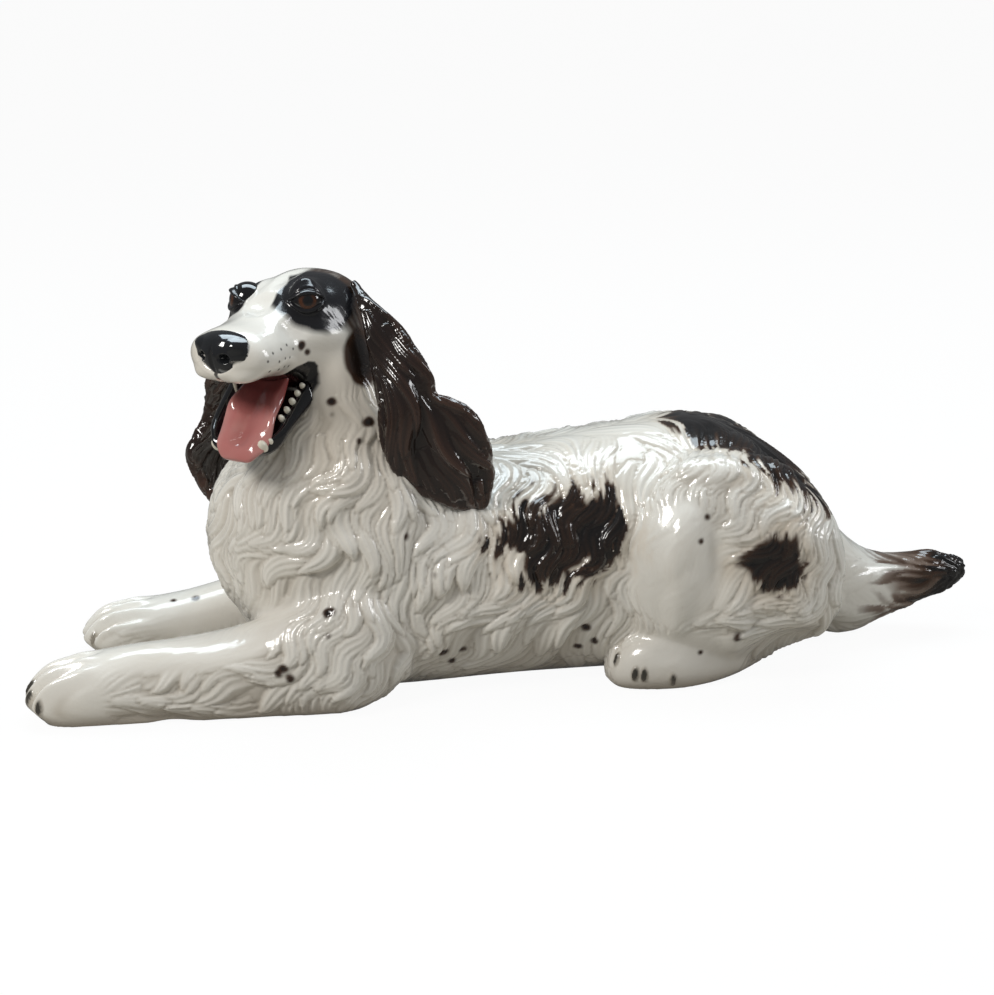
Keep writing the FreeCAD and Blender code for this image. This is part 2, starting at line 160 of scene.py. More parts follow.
# Soft studio light: a pale room, a wide cool window over the back, a warmer one towards the
# head, and a weak one from the tail end.
room_strength = 0.27
room_in_glaze = 0.12          # how bright the room looks in the glaze
room_colour = (0.95, 0.97, 1.0)
lamps = [
    # place, size in metres, watts, colour
    ((0.10, 0.55, 1.8), (1.8, 0.8), 27.5, (0.80, 0.92, 1.0)),
    ((-1.15, -0.70, 1.20), (0.45, 0.45), 14.5, (1.0, 0.98, 0.95)),
    ((1.5, -0.4, 0.9), (0.4, 0.8), 8.0, (0.97, 0.98, 1.0)),
]
lamp_target = Vector((0, 0, 0.1))
world = bpy.data.worlds.new("room")
scene.world = world
world.use_nodes = True
world.node_tree.nodes.clear()
start = Glaze(world.node_tree)
seen = start.node("ShaderNodeLightPath")
plain = start.node("ShaderNodeBackground", None, {"Color": room_colour, "Strength": room_strength})
dusk = start.node("ShaderNodeBackground", None, {"Color": room_colour, "Strength": room_in_glaze})
room = start.node("ShaderNodeMixShader", None, {0: seen.other("Is Glossy Ray"), 1: plain, 2: dusk})
white = start.node("ShaderNodeBackground", None, {"Color": pure_white, "Strength": 1.0})
surface = start.node("ShaderNodeMixShader", None, {0: seen.other("Is Camera Ray"), 1: room, 2: white})
start.node("ShaderNodeOutputWorld", None, {"Surface": surface})
for number, (place, size, watts, colour) in enumerate(lamps):
    lamp_data = bpy.data.lights.new("window_%d" % number, "AREA")
    lamp_data.shape = "RECTANGLE"
    lamp_data.size, lamp_data.size_y = size
    lamp_data.energy = watts
    lamp_data.color = colour
    lamp = bpy.data.objects.new("window_%d" % number, lamp_data)
    lamp.location = place
    lamp.rotation_euler = (lamp_target - Vector(place)).to_track_quat("-Z", "Y").to_euler()
    bpy.context.collection.objects.link(lamp)


# The castings. Trunk, head, legs, haunches and tail are slip-cast and luted together wet, and
# the seams are wiped away, so that they share one skin. Plain copies of them, two balls of clay
# under the eyelids and a plug in the drain hole are drawn together into that skin.
casting_names = ["body_shell", "head_shell", "foreleg_left", "foreleg_right", "haunch_left",
                 "haunch_right", "hind_foot_left", "hind_foot_right", "tail"]
skin_voxel = 1.1
plug_place = (-14.05, 0.0, 3.5)
plug_radius = 12.6
drain_radius = 12.0
head_centre = np.array((-142.97, -12.0, 235.2))
head_turn = (Matrix.Rotation(math.radians(50.0), 3, "Z")
             @ Matrix.Rotation(math.radians(5.0), 3, "Y"))
head_axes = np.array(head_turn)
eye_places = {"left": (-28.5, -21.0, 29.0), "right": (-28.5, 24.0, 24.5)}
lid_radius = 12.4
merge_distance = 0.000002


def to_head(points):
    """Millimetres in the head's own frame, nose at -X and the dog's left at -Y."""
    return (points - head_centre) @ head_axes


def from_head(points):
    return np.asarray(points) @ head_axes.T + head_centre


def copy_of(name):
    """A merged copy of a casting or pressed piece."""
    shape = bmesh.new()
    shape.from_mesh(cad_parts[name].data)
    bmesh.ops.remove_doubles(shape, verts=shape.verts, dist=merge_distance)
    return shape


def drawn_together(shape, name, voxel):
    """One even skin round everything in a bmesh; only the outermost of its shells is kept."""
    rough = bpy.data.objects.new(name, as_mesh(shape, name))
    bpy.context.collection.objects.link(rough)
    even = rough.modifiers.new("even", "REMESH")
    even.mode = "VOXEL"
    even.voxel_size = voxel * mm
    depsgraph = bpy.context.evaluated_depsgraph_get()
    skin = bpy.data.meshes.new_from_object(rough.evaluated_get(depsgraph))
    skin.name = name
    bpy.data.objects.remove(rough)
    return outermost(skin)


def outermost(mesh):
    """Drops every shell of a mesh but the one that reaches furthest along -X."""
    links = edges_of(mesh)
    points = points_of(mesh)
    shell = np.arange(len(points))
    while True:
        low = np.minimum(shell[links[:, 0]], shell[links[:, 1]])
        joined = shell.copy()
        np.minimum.at(joined, shell[links[:, 0]], low)
        np.minimum.at(joined, shell[links[:, 1]], low)
        joined = joined[joined][joined]
        if (joined == shell).all():
            break
        shell = joined
    inner = np.where(shell != shell[points[:, 0].argmin()])[0]
    if len(inner):
        trimmed = bmesh.new()
        trimmed.from_mesh(mesh)
        trimmed.verts.ensure_lookup_table()
        bmesh.ops.delete(trimmed, geom=[trimmed.verts[k] for k in inner], context="VERTS")
        trimmed.to_mesh(mesh)
        trimmed.free()
    return mesh


def read_out(items, name, width, kind=np.float32):
    """One value of every item of a mesh, in rows."""
    flat = np.empty(len(items) * width, kind)
    items.foreach_get(name, flat)
    return flat.reshape(-1, width)


def points_of(mesh):
    """A mesh's points in millimetres."""
    return read_out(mesh.vertices, "co", 3).astype(float) / mm


def set_points(mesh, points):
    mesh.vertices.foreach_set("co", (points * mm).astype(np.float32).ravel())
    mesh.update()


def edges_of(mesh):
    return read_out(mesh.edges, "vertices", 2, np.int32)


def normals_of(mesh):
    return read_out(mesh.vertex_normals, "vector", 3).astype(float)


def relaxed(values, links, strength, rounds):
    """Values drawn towards the middle of their neighbours, round after round."""
    values = values.copy()
    total = len(values)
    neighbours = np.bincount(links.ravel(), minlength=total)[:, None].clip(1)
    flat = values.ndim == 1
    if flat:
        values = values[:, None]
    share = np.broadcast_to(strength, total)[:, None]
    for _ in range(rounds):
        around = np.stack([np.bincount(links[:, 0], column[links[:, 1]], total)
                           + np.bincount(links[:, 1], column[links[:, 0]], total)
                           for column in values.T], axis=1)
        values += share * (around / neighbours - values)
    return values[:, 0] if flat else values


def ease(values, low=0.0, high=1.0):
    """0 below low, 1 above high, and a smooth step between them."""
    share = ((values - low) / (high - low)).clip(0, 1)
    return share * share * (3 - 2 * share)


def near(points, place, reach):
    """1 at a place, easing to 0 at its reach along each axis."""
    gap = ((points - place) / reach) ** 2
    return (1 - gap.sum(axis=1)).clip(0, 1) ** 2


def unit(vectors):
    return vectors / np.linalg.norm(vectors, axis=-1, keepdims=True).clip(1e-9)


def cell_key(cell):
    """A scrambled whole number for each cell of a grid."""
    return cell[:, 0] * 73856093 ^ cell[:, 1] * 19349663 ^ cell[:, 2] * 83492791


def murmur(points, size, seed):
    """Smooth random numbers from -1 to 1, in lumps of that size."""
    grid = np.asarray(points) / size
    low = np.floor(grid).astype(np.int64)
    part = grid - low
    part = part * part * (3 - 2 * part)
    total = np.zeros(len(grid))
    for corner in range(8):
        step = np.array([corner & 1, corner >> 1 & 1, corner >> 2 & 1])
        key = cell_key(low + step)
        key = ((key ^ (seed * 668265263)) * 1274126177) & 0x7FFFFFFF
        key = ((key ^ (key >> 15)) * 2246822519) & 0x7FFFFFFF
        value = ((key ^ (key >> 13)) & 0xFFFF) / 32767.5 - 1
        total += value * np.where(step, part, 1 - part).prod(axis=1)
    return total


together = bmesh.new()
for name in casting_names:
    casting = as_mesh(copy_of(name), "casting")
    together.from_mesh(casting)
    bpy.data.meshes.remove(casting)
bmesh.ops.create_cone(together, cap_ends=True, segments=48, radius1=plug_radius * mm,
                      radius2=plug_radius * mm, depth=2 * plug_place[2] * mm,
                      matrix=Matrix.Translation(Vector(plug_place) * mm))
for place in eye_places.values():
    bmesh.ops.create_uvsphere(together, u_segments=48, v_segments=32, radius=lid_radius * mm,
                              matrix=Matrix.Translation(Vector(from_head(place)) * mm))
skin = drawn_together(together, "skin", skin_voxel)

points = points_of(skin)
links = edges_of(skin)
at_head = to_head(points)
flatness = np.minimum(points[:, 2], 6.0).clip(0) / 6.0
toes = ease(-points[:, 0], 235.0, 265.0)
hind_toes = (near(points, (95.0, -80.0, 12.0), (75.0, 40.0, 34.0))
             + near(points, (95.0, 80.0, 12.0), (75.0, 40.0, 34.0)))
face = ease(-at_head[:, 0], 46.0, 58.0) * ease(at_head[:, 2], -60.0, -42.0)
soften = 0.6 * flatness * (1 - 0.8 * toes) * (1 - 0.7 * hind_toes.clip(0, 1))
soften = (soften * (1 - 0.9 * face)).clip(0, 0.6)
points = relaxed(points, links, soften + 0.02, 36)
set_points(skin, points)


# The head is modelled by hand on its casting: brows, a furrow between them, lids round the
# eyes, and full upper lips.
face_strokes = [
    # place in the head's frame, reach, push
    ((-27.0, 21.0, 42.0), (19.0, 14.0, 12.0), (-1.5, 0.5, 3.5)),
    ((-24.0, 0.0, 47.0), (34.0, 8.0, 16.0), (0.0, 0.0, -3.2)),
    ((-50.0, 0.0, 27.0), (18.0, 15.0, 12.0), (2.0, 0.0, -3.0)),
    ((-50.0, 27.0, 13.0), (15.0, 12.0, 11.0), (0.0, -3.2, 0.0)),
    ((-68.0, 26.0, -6.0), (24.0, 15.0, 17.0), (-1.0, 3.4, -0.4)),
    ((-82.0, 16.0, -17.0), (16.0, 13.0, 10.0), (-2.5, 2.6, -0.6)),
    ((-80.0, 20.0, -2.0), (15.0, 12.0, 15.0), (-0.5, 2.4, 0.0)),
    ((-95.0, 0.0, 0.0), (17.0, 17.0, 15.0), (7.5, 0.0, 0.0)),
    ((-30.0, 38.0, 8.0), (22.0, 14.0, 12.0), (0.0, 2.5, 0.0)),
    ((-6.0, 42.0, -8.0), (30.0, 16.0, 26.0), (0.0, 2.5, 0.0)),
    ((-84.0, 0.0, -17.0), (10.0, 3.0, 9.0), (2.6, 0.0, 1.2)),
]
brow_lean = np.array((0.0, 3.0, -4.5))      # the right brow and eye sit lower and wider
eye_axis = np.array((-0.72, 0.68, 0.10))
opening_half_width = 1.00     # radians across the eyeball, from the middle to a corner
opening_up = 0.30
opening_down = 0.46
opening_slant = 0.08
lid_thickness = 1.2
eyeball_radius = 12.0


def pushed(points, strokes, share=1.0):
    """Points drawn out or pressed in by strokes, each also made on the head's other side."""
    for place, reach, push in strokes:
        for hand in ((1,) if place[1] == 0 else (1, -1)):
            flip = np.array((1, hand, 1))
            dent = near(points, np.array(place) * flip, reach) * share
            points = points + dent[:, None] * (np.array(push) * flip)
    return points


fine = bmesh.new()
fine.from_mesh(skin)
fine.verts.ensure_lookup_table()
local = to_head(points_of(skin))
in_face = (local[:, 0] < 1) & (local[:, 2] > -34) & (np.abs(local[:, 1]) < 60)
in_face = in_face & (points[:, 2] > 190)
edges = [edge for edge in fine.edges
         if in_face[edge.verts[0].index] and in_face[edge.verts[1].index]]
bmesh.ops.subdivide_edges(fine, edges=edges, cuts=1, use_grid_fill=True, smooth=0.0)
fine.to_mesh(skin)
fine.free()
links = edges_of(skin)
points = points_of(skin)
at_head = to_head(points)
in_front = at_head[:, 0] < 40
at_head = pushed(at_head, face_strokes, in_front)
lean = ease(at_head[:, 1], 2.0, 22.0) * ease(at_head[:, 2], 0.0, 22.0)
lean = lean * (1 - ease(at_head[:, 0], -8.0, 14.0))
at_head += lean[:, None] * brow_lean * in_front[:, None]

for side, place in eye_places.items():
    hand = -1 if side == "left" else 1
    forward = unit(eye_axis * (1, hand, 1))
    backward = unit(np.cross((0.0, 0.0, 1.0), forward)) * -hand
    upward = np.cross(forward, backward)
    upward = upward * np.sign(upward[2])
    spoke = at_head - place
    length = np.linalg.norm(spoke, axis=1)
    way = unit(spoke)
    out = way @ forward
    across = np.arctan2(way @ backward, out)
    up = np.arctan2(way @ upward, out) - opening_slant * across
    reach = np.hypot(across / 1.15, up / 0.95)
    around = (1 - ease(reach, 0.72, 1.30)) * (length < 24) * (out > 0)
    level = (1 - (across / opening_half_width) ** 2).clip(0)
    gap = np.maximum(up - opening_up * level ** 0.7, -opening_down * level ** 0.8 - up)
    inside = 1 - ease(gap, -0.06, 0.02)
    rim = np.exp(-((gap - 0.10) / 0.09) ** 2)
    crease = np.exp(-((gap - 0.34) / 0.08) ** 2) * (up > 0)
    corner = np.exp(-(up / 0.09) ** 2) * ease(np.abs(across), 0.80, 0.95)
    corner = corner * (1 - ease(np.abs(across), 1.1, 1.3))
    goal = eyeball_radius + lid_thickness + 0.8 * rim - 0.9 * crease - 1.6 * corner
    goal = goal * (1 - inside) + (eyeball_radius - 1.8) * inside
    length = length + around * (goal - length)
    at_head = place + way * length[:, None]
points = from_head(at_head)
set_points(skin, points)


# The paws are modelled too: four toes with grooves between them, knuckles, claws pressed on,
# and a rounded front edge. The forelegs are slimmer behind the paws than the castings.
paw_sides = {
    # the toes' tips along the dog, then their middle and half width across
    "left": (-333.0, -68.0, 21.0),
    "right": (-298.0, 57.0, 21.0),
}
toe_length = 44.0
toe_waves = 1.9               # waves of the four toes to each half width of the paw
claw_rise = 1.3
leg_strokes = [
    # place on the dog, reach, push
    ((-196.0, -76.0, 66.0), (62.0, 46.0, 36.0), (0.0, 0.0, -8.0)),
    ((-262.0, -72.0, 46.0), (30.0, 36.0, 24.0), (0.0, 0.0, 2.0)),
    ((-240.0, -100.0, 4.0), (24.0, 30.0, 12.0), (0.0, 1.5, 5.0)),
    ((-176.0, 60.0, 20.0), (46.0, 26.0, 24.0), (0.0, 3.0, 4.0)),
    ((-130.0, -104.0, 10.0), (14.0, 22.0, 40.0), (0.0, -5.0, 0.0)),
    ((-152.0, -104.0, 20.0), (9.0, 14.0, 34.0), (0.0, 3.0, 0.0)),
    ((-40.0, -84.0, 3.0), (30.0, 22.0, 12.0), (0.0, 1.0, 5.0)),
    ((20.0, -80.0, 3.0), (26.0, 22.0, 12.0), (0.0, 1.0, 5.0)),
    ((84.0, -100.0, 30.0), (22.0, 16.0, 14.0), (0.0, 3.0, 0.0)),
    ((86.0, -92.0, 96.0), (36.0, 34.0, 46.0), (0.0, -4.5, 0.0)),
    ((86.0, 92.0, 96.0), (36.0, 34.0, 46.0), (0.0, 4.5, 0.0)),
    ((117.0, -98.0, 100.0), (14.0, 30.0, 46.0), (0.0, 4.5, 0.0)),
    ((117.0, 98.0, 100.0), (14.0, 30.0, 46.0), (0.0, -4.5, 0.0)),
    ((172.0, -84.0, 20.0), (38.0, 32.0, 26.0), (0.0, 8.0, 8.0)),
    ((172.0, 84.0, 20.0), (38.0, 32.0, 26.0), (0.0, -8.0, 8.0)),
    ((124.0, 64.0, 156.0), (46.0, 38.0, 26.0), (0.0, 0.0, -8.0)),
]
claws = [
    # middle, way it points, half length, half width
    ((56.4, -75.8, 20.8), (-0.3, -0.2, -0.9), 4.6, 1.8),
    ((66.4, -86.6, 13.5), (-0.25, -0.2, -0.9), 5.4, 2.2),
    ((72.0, -88.7, 13.2), (-0.1, -0.2, -0.9), 5.4, 2.2),
    ((91.6, -90.4, 9.0), (0.1, -0.2, -0.9), 5.4, 2.2),
    ((-331.0, -60.0, 22.0), (-0.45, 0.0, -0.9), 6.0, 2.3),
    ((-332.0, -72.0, 19.0), (-0.4, -0.1, -0.9), 6.0, 2.3),
    ((-325.0, -83.0, 15.0), (-0.3, -0.4, -0.9), 5.5, 2.2),
    ((-328.0, -50.0, 17.0), (-0.4, 0.3, -0.9), 5.5, 2.2),
    ((-295.0, 50.0, 20.0), (-0.45, 0.0, -0.9), 5.5, 2.2),
    ((-296.0, 61.0, 17.0), (-0.4, 0.1, -0.9), 5.5, 2.2),
    ((-290.0, 71.0, 13.0), (-0.3, 0.4, -0.9), 5.0, 2.0),
    ((-291.0, 41.0, 14.0), (-0.4, -0.3, -0.9), 5.0, 2.0),
    ((56.4, 75.8, 20.8), (-0.3, 0.2, -0.9), 4.6, 1.8),
    ((66.4, 86.6, 13.5), (-0.25, 0.2, -0.9), 5.4, 2.2),
    ((74.0, 88.7, 12.2), (-0.1, 0.2, -0.9), 5.4, 2.2),
    ((91.6, 90.4, 9.0), (0.1, 0.2, -0.9), 5.4, 2.2),
]


def claw_cover(points, normals, middle, way, half_length, half_width):
    """1 on a claw, easing to 0 at its edge."""
    offset = points - middle
    out = normals[(offset ** 2).sum(axis=1).argmin()]
    way = unit(np.array(way) - out * (np.array(way) @ out))
    along = offset @ way
    depth = offset @ out
    aside = offset @ np.cross(out, way)
    far = np.hypot(along / half_length, aside / half_width) + (np.abs(depth) > 8)
    return 1 - ease(far, 0.75, 1.1)


for place, reach, push in leg_strokes:
    points += near(points, place, reach)[:, None] * push
for tips, middle, half_width in paw_sides.values():
    back = points[:, 0] - tips
    aside = (points[:, 1] - middle) / half_width
    on_paw = (back < 60) & (np.abs(aside) < 1.6) & (points[:, 2] < 70)
    forward = 1 - ease(back, toe_length * 0.55, toe_length * 1.25)
    waves = 0.5 - 0.5 * np.cos(2 * math.pi * (aside * toe_waves + 0.5))
    upper = ease(points[:, 2], 4.0, 14.0)
    knuckle = np.exp(-((back - 16.0) / 10.0) ** 2) + 0.6 * np.exp(-((back - 40.0) / 11.0) ** 2)
    rise = on_paw * forward * upper * (4.0 * waves ** 0.7 + 2.6 * knuckle * waves - 3.6)
    points[:, 2] += rise * ease(points[:, 2], 6.0, 24.0)
    points[:, 0] -= on_paw * (1 - ease(back, 6.0, 30.0)) * upper * (4.4 * waves ** 0.7 - 3.4)
    under = (1 - ease(points[:, 2], 0.0, 17.0)) ** 1.5
    points[:, 0] += on_paw * (1 - ease(back, 0.0, 34.0)) * 10.0 * under
skin_normals = normals_of(skin)
for claw in claws:
    points += claw_rise * (claw_cover(points, skin_normals, *claw)[:, None] * skin_normals)
points[:, 2] = points[:, 2].clip(0)
set_points(skin, points)


# The coat is pressed and cut into the wet clay with a wooden tool, lock by lock: each lock
# runs down the coat, swells, and ends in a curl over the next one. The glaze softens it.
coat_guides = [
    # place in millimetres on the dog's left side, and the way the hair runs there
    ((-23, -62, 160), (0.12, -0.3, -0.9)),
    ((16, -60, 150), (-0.10, -0.3, -0.9)),
    ((49, -60, 150), (-0.45, -0.3, -0.8)),
    ((-44, -76, 111), (-0.66, -0.1, -0.75)),
    ((-24, -76, 117), (0.35, -0.1, -0.94)),
    ((9, -72, 122), (-0.15, -0.1, -0.99)),
    ((43, -72, 113), (-0.67, 0, -0.75)),
    ((-57, -80, 85), (-0.81, 0, -0.58)),
    ((-11, -78, 69), (-0.71, 0, -0.70)),
    ((30, -75, 66), (-0.62, 0, -0.78)),
    ((57, -75, 64), (-0.20, 0, -0.98)),
    ((-30, -70, 30), (-0.55, 0.1, -0.80)),
    ((20, -66, 30), (-0.45, 0.1, -0.88)),
    ((-83, -76, 128), (-0.05, 0, -1)),
    ((-97, -80, 74), (0.17, 0, -0.99)),
    ((-75, -60, 160), (0.15, -0.1, -0.98)),
    ((-106, -62, 206), (-0.55, 0, -0.80)),
    ((-125, -62, 185), (-0.57, 0, -0.82)),
    ((-132, -75, 138), (-0.93, 0, -0.30)),
    ((-152, -70, 110), (-0.95, 0, -0.25)),
    ((-160, -66, 78), (-0.45, 0, -0.88)),
    ((-150, -74, 60), (0.2, 0, -0.98)),
    ((-122, -80, 101), (-0.02, 0, -1)),
    ((-102, -78, 128), (-0.11, 0, -0.99)),
    ((-203, -12, 118), (-0.1, 0.5, -0.85)),
    ((-196, -40, 90), (-0.4, -0.5, -0.75)),
    ((-190, -10, 155), (-0.35, 0, -0.94)),
    ((-170, -25, 190), (-0.25, 0, -0.97)),
    ((-190, -20, 70), (0.1, 0, -0.99)),
    ((-60, -15, 205), (0.5, -0.3, -0.8)),
    ((-30, -15, 168), (0.9, -0.4, -0.3)),
    ((20, -18, 157), (0.35, -0.8, -0.2)),
    ((80, -18, 162), (0.4, -0.8, -0.2)),
    ((130, -22, 165), (0.3, -0.9, -0.3)),
    ((180, -50, 135), (-0.25, -0.60, -0.75)),
    ((203, -14, 120), (0.8, -0.1, -0.6)),
    ((192, -62, 70), (0.5, 0, -0.85)),
    ((200, -50, 30), (0.6, 0, -0.75)),
    ((76, -92, 118), (-0.25, 0, -0.97)),
    ((66, -92, 70), (-0.1, 0, -0.99)),
    ((112, -98, 66), (-0.65, 0, -0.75)),
    ((140, -98, 56), (-0.92, 0, -0.38)),
    ((150, -98, 84), (-0.85, 0, -0.45)),
    ((168, -98, 112), (-0.55, 0, -0.82)),
    ((176, -98, 60), (-0.80, 0, -0.55)),
    ((196, -80, 92), (-0.45, 0, -0.88)),
    ((115, -88, 152), (-0.35, -0.5, -0.80)),
    ((150, -80, 144), (-0.45, -0.5, -0.75)),
    ((235, -24, 50), (0.97, 0, -0.18)),
    ((300, -12, 60), (0.97, 0, 0.12)),
    ((225, -10, 88), (0.85, 0, -0.45)),
    ((250, -22, 18), (0.96, 0, -0.10)),
    ((-200, -95, 40), (-0.98, 0, -0.15)),
    ((-260, -80, 30), (-1, 0, 0)),
    ((-125, -95, 60), (-0.75, 0, -0.65)),
    ((-110, -96, 20), (-0.35, 0, -0.92)),
    ((-90, -90, 90), (-0.40, 0, -0.90)),
    ((110, -90, 20), (-1, 0, -0.1)),
]
head_guides = [
    # the same, in the head's own frame
    ((-60, -24, 12), (1, -0.2, 0)),
    ((-10, -44, 0), (0.8, 0, -0.6)),
    ((10, -40, 30), (0.7, -0.3, -0.6)),
    ((0, -10, 46), (1, -0.2, 0)),
    ((35, -20, 20), (0.6, -0.2, -0.75)),
    ((-20, -36, -34), (0.3, 0, -0.95)),
    ((20, -44, -20), (0.5, 0, -0.85)),
]
guide_reach = 26.0
wave_turn = 0.78              # radians that the locks swing to each side
wave_length = 44.0
wave_lumps = 26.0
coat_depth = 5.8              # millimetres from the top of a lock to its groove
seam_depth = 1.3
lock_spacing = 13.0
lock_length = 58.0
lock_half_width = 10.4
smooth_places = [
    # where the clay was left smooth: place, reach, share of the modelling kept
    ((40.0, 0.0, 172.0), (170.0, 42.0, 26.0), 0.25),
    ((88.0, -98.0, 92.0), (48.0, 40.0, 66.0), 0.10),
    ((88.0, 98.0, 92.0), (48.0, 40.0, 66.0), 0.10),
    ((120.0, -80.0, 152.0), (50.0, 30.0, 16.0), 0.50),
    ((130.0, 66.0, 150.0), (70.0, 50.0, 30.0), 0.25),
    ((-112.0, -62.0, 204.0), (34.0, 34.0, 34.0), 0.35),
    ((240.0, 0.0, 58.0), (74.0, 60.0, 70.0), 0.15),
    ((-52.0, -84.0, 116.0), (26.0, 30.0, 20.0), 0.45),
    ((-235.0, -72.0, 56.0), (110.0, 44.0, 34.0), 0.06),
    ((-325.0, -72.0, 16.0), (60.0, 50.0, 60.0), 0.03),
    ((-235.0, 60.0, 46.0), (110.0, 60.0, 54.0), 0.06),
    ((100.0, -90.0, 14.0), (75.0, 40.0, 40.0), 0.05),
    ((100.0, 90.0, 14.0), (75.0, 40.0, 40.0), 0.05),
]


def both_sides(rows):
    places = np.array([place for place, _ in rows], float)
    ways = unit(np.array([way for _, way in rows], float))
    flip = np.array((1, -1, 1))
    return np.vstack([places, places * flip]), np.vstack([ways, ways * flip])


def combed(points, normals, places, ways, reach):
    """The way the hair runs at every point, blended from the guides and laid in the skin."""
    flow = np.zeros_like(points)
    at_once = 20000
    for low in range(0, len(points), at_once):
        block = points[low:low + at_once]
        gap = ((block[:, None] - places[None]) ** 2).sum(axis=2)
        weight = 1 / (gap + reach ** 2) ** 2
        flow[low:low + at_once] = weight @ ways / weight.sum(axis=1, keepdims=True)
    flow -= normals * (flow * normals).sum(axis=1, keepdims=True)
    return unit(flow)


def swung(points, normals, flow, turn, length, lumps, seed):
    """The same with the waves of a spaniel's coat."""
    phase = (points * (0.35, 0.25, 1.0)).sum(axis=1) / length * 2 * math.pi
    phase += 2.6 * murmur(points, 2.2 * lumps, seed)
    angle = turn * (0.7 * np.sin(phase) + 0.75 * murmur(points, lumps, seed + 1))
    side = np.cross(normals, flow)
    return unit(flow * np.cos(angle)[:, None] + side * np.sin(angle)[:, None])


def lay_locks(points, normals, flow, keep, spacing, length, half_width, seed, most_strands=5):
    """Lays tapering locks over a skin like shingles.

    Gives each point's height from 0 to 1, its place across its lock, and the lock's number.
    """
    steps = 18
    least_keep = 0.04
    thickness = 7
    bin_size = 8.0
    rng = np.random.default_rng(seed)
    total = len(points)
    order = rng.permutation(total)
    key = cell_key(np.floor(points[order] / spacing).astype(np.int64))
    roots = order[np.unique(key, return_index=True)[1]]
    roots = roots[keep[roots] > least_keep]
    tree = KDTree(total)
    for number, point in enumerate(points.tolist()):
        tree.insert(point, number)
    tree.balance()
    lengths = length * rng.uniform(0.7, 1.25, len(roots))
    widths = half_width * rng.uniform(0.7, 1.2, len(roots))
    stride = (lengths / (steps - 1))[:, None]
    at = roots
    place = points[roots]
    path, ups, aheads = [place], [normals[roots]], [flow[roots]]
    for _ in range(steps - 1):
        place = place + flow[at] * stride
        at = np.array([tree.find(p)[1] for p in place.tolist()])
        lift = ((place - points[at]) * normals[at]).sum(axis=1, keepdims=True)
        place = place - normals[at] * lift
        path.append(place)
        ups.append(normals[at])
        aheads.append(flow[at])
    path, ups, aheads = (np.stack(rows, axis=1) for rows in (path, ups, aheads))
    sides = np.cross(ups, aheads)

    low_cell = np.floor(points.min(0) / bin_size).astype(np.int64)
    cell = np.floor(points / bin_size).astype(np.int64) - low_cell
    shape = cell.max(0) + 1
    flat_cell = (cell[:, 0] * shape[1] + cell[:, 1]) * shape[2] + cell[:, 2]
    sort = np.argsort(flat_cell, kind="stable")
    starts = np.searchsorted(flat_cell[sort], np.arange(shape.prod() + 1))

    body = np.zeros(total)
    height = np.zeros(total)
    across_lock = np.zeros(total)
    lock_number = np.full(total, -1)
    swell = rng.uniform(0.75, 1.15, len(roots))
    strands = rng.integers(most_strands - 2, most_strands + 1, len(roots))
    phases = rng.uniform(0, 1, len(roots))
    twists = rng.uniform(-0.35, 0.35, len(roots))
    for lock in range(len(roots)):
        line = path[lock]
        reach = widths[lock]
        low = np.floor((line.min(0) - reach) / bin_size).astype(np.int64) - low_cell
        high = np.floor((line.max(0) + reach) / bin_size).astype(np.int64) - low_cell
        low, high = low.clip(0), np.minimum(high, shape - 1)
        rows = []
        for x in range(low[0], high[0] + 1):
            for y in range(low[1], high[1] + 1):
                first = (x * shape[1] + y) * shape[2]
                rows.append(sort[starts[first + low[2]]:starts[first + high[2] + 1]])
        among = np.concatenate(rows)
        offset = points[among][:, None] - line[None]
        nearest = (offset ** 2).sum(axis=2).argmin(axis=1)
        offset = offset[np.arange(len(among)), nearest]
        along = (nearest + (offset * aheads[lock][nearest]).sum(axis=1) / stride[lock]) / (steps - 1)
        aside = (offset * sides[lock][nearest]).sum(axis=1)
        above = (offset * ups[lock][nearest]).sum(axis=1)
        along_in = along.clip(0, 1)
        width = reach * (0.45 + 0.55 * ease(along_in, 0, 0.35)) * (1 - along_in ** 2.4) ** 0.75
        across = aside / width.clip(0.05)
        inside = (np.abs(across) < 1) & (along > 0) & (along < 1) & (np.abs(above) < thickness)
        across, along_in, inside_points = across[inside], along_in[inside], among[inside]
        lift = (0.30 + 0.70 * along_in ** 0.8) * (1 - 0.35 * ease(along_in, 0.82, 1.0))
        round_top = np.sqrt(1 - across ** 2)
        turns = across * strands[lock] / 2 + phases[lock] + twists[lock] * along_in
        strand = 0.5 + 0.5 * np.cos(2 * math.pi * turns)
        value = swell[lock] * lift * round_top ** 0.8
        better = value > body[inside_points]
        chosen = inside_points[better]
        body[chosen] = value[better]
        height[chosen] = (value * (0.68 + 0.32 * strand))[better]
        across_lock[chosen] = across[better]
        lock_number[chosen] = lock
    return height, across_lock, lock_number


def seams(lock, height, links):
    """1 in the grooves between one lock and the next, on the lower one's side."""
    one, other = links[lock[links[:, 0]] != lock[links[:, 1]]].T
    step = np.abs(height[one] - height[other])
    deep = np.zeros(len(lock))
    low = np.where(height[one] < height[other], one, other)
    np.maximum.at(deep, low, 0.4 + 1.6 * step)
    return relaxed(deep.clip(0, 1), links, 0.6, 1)


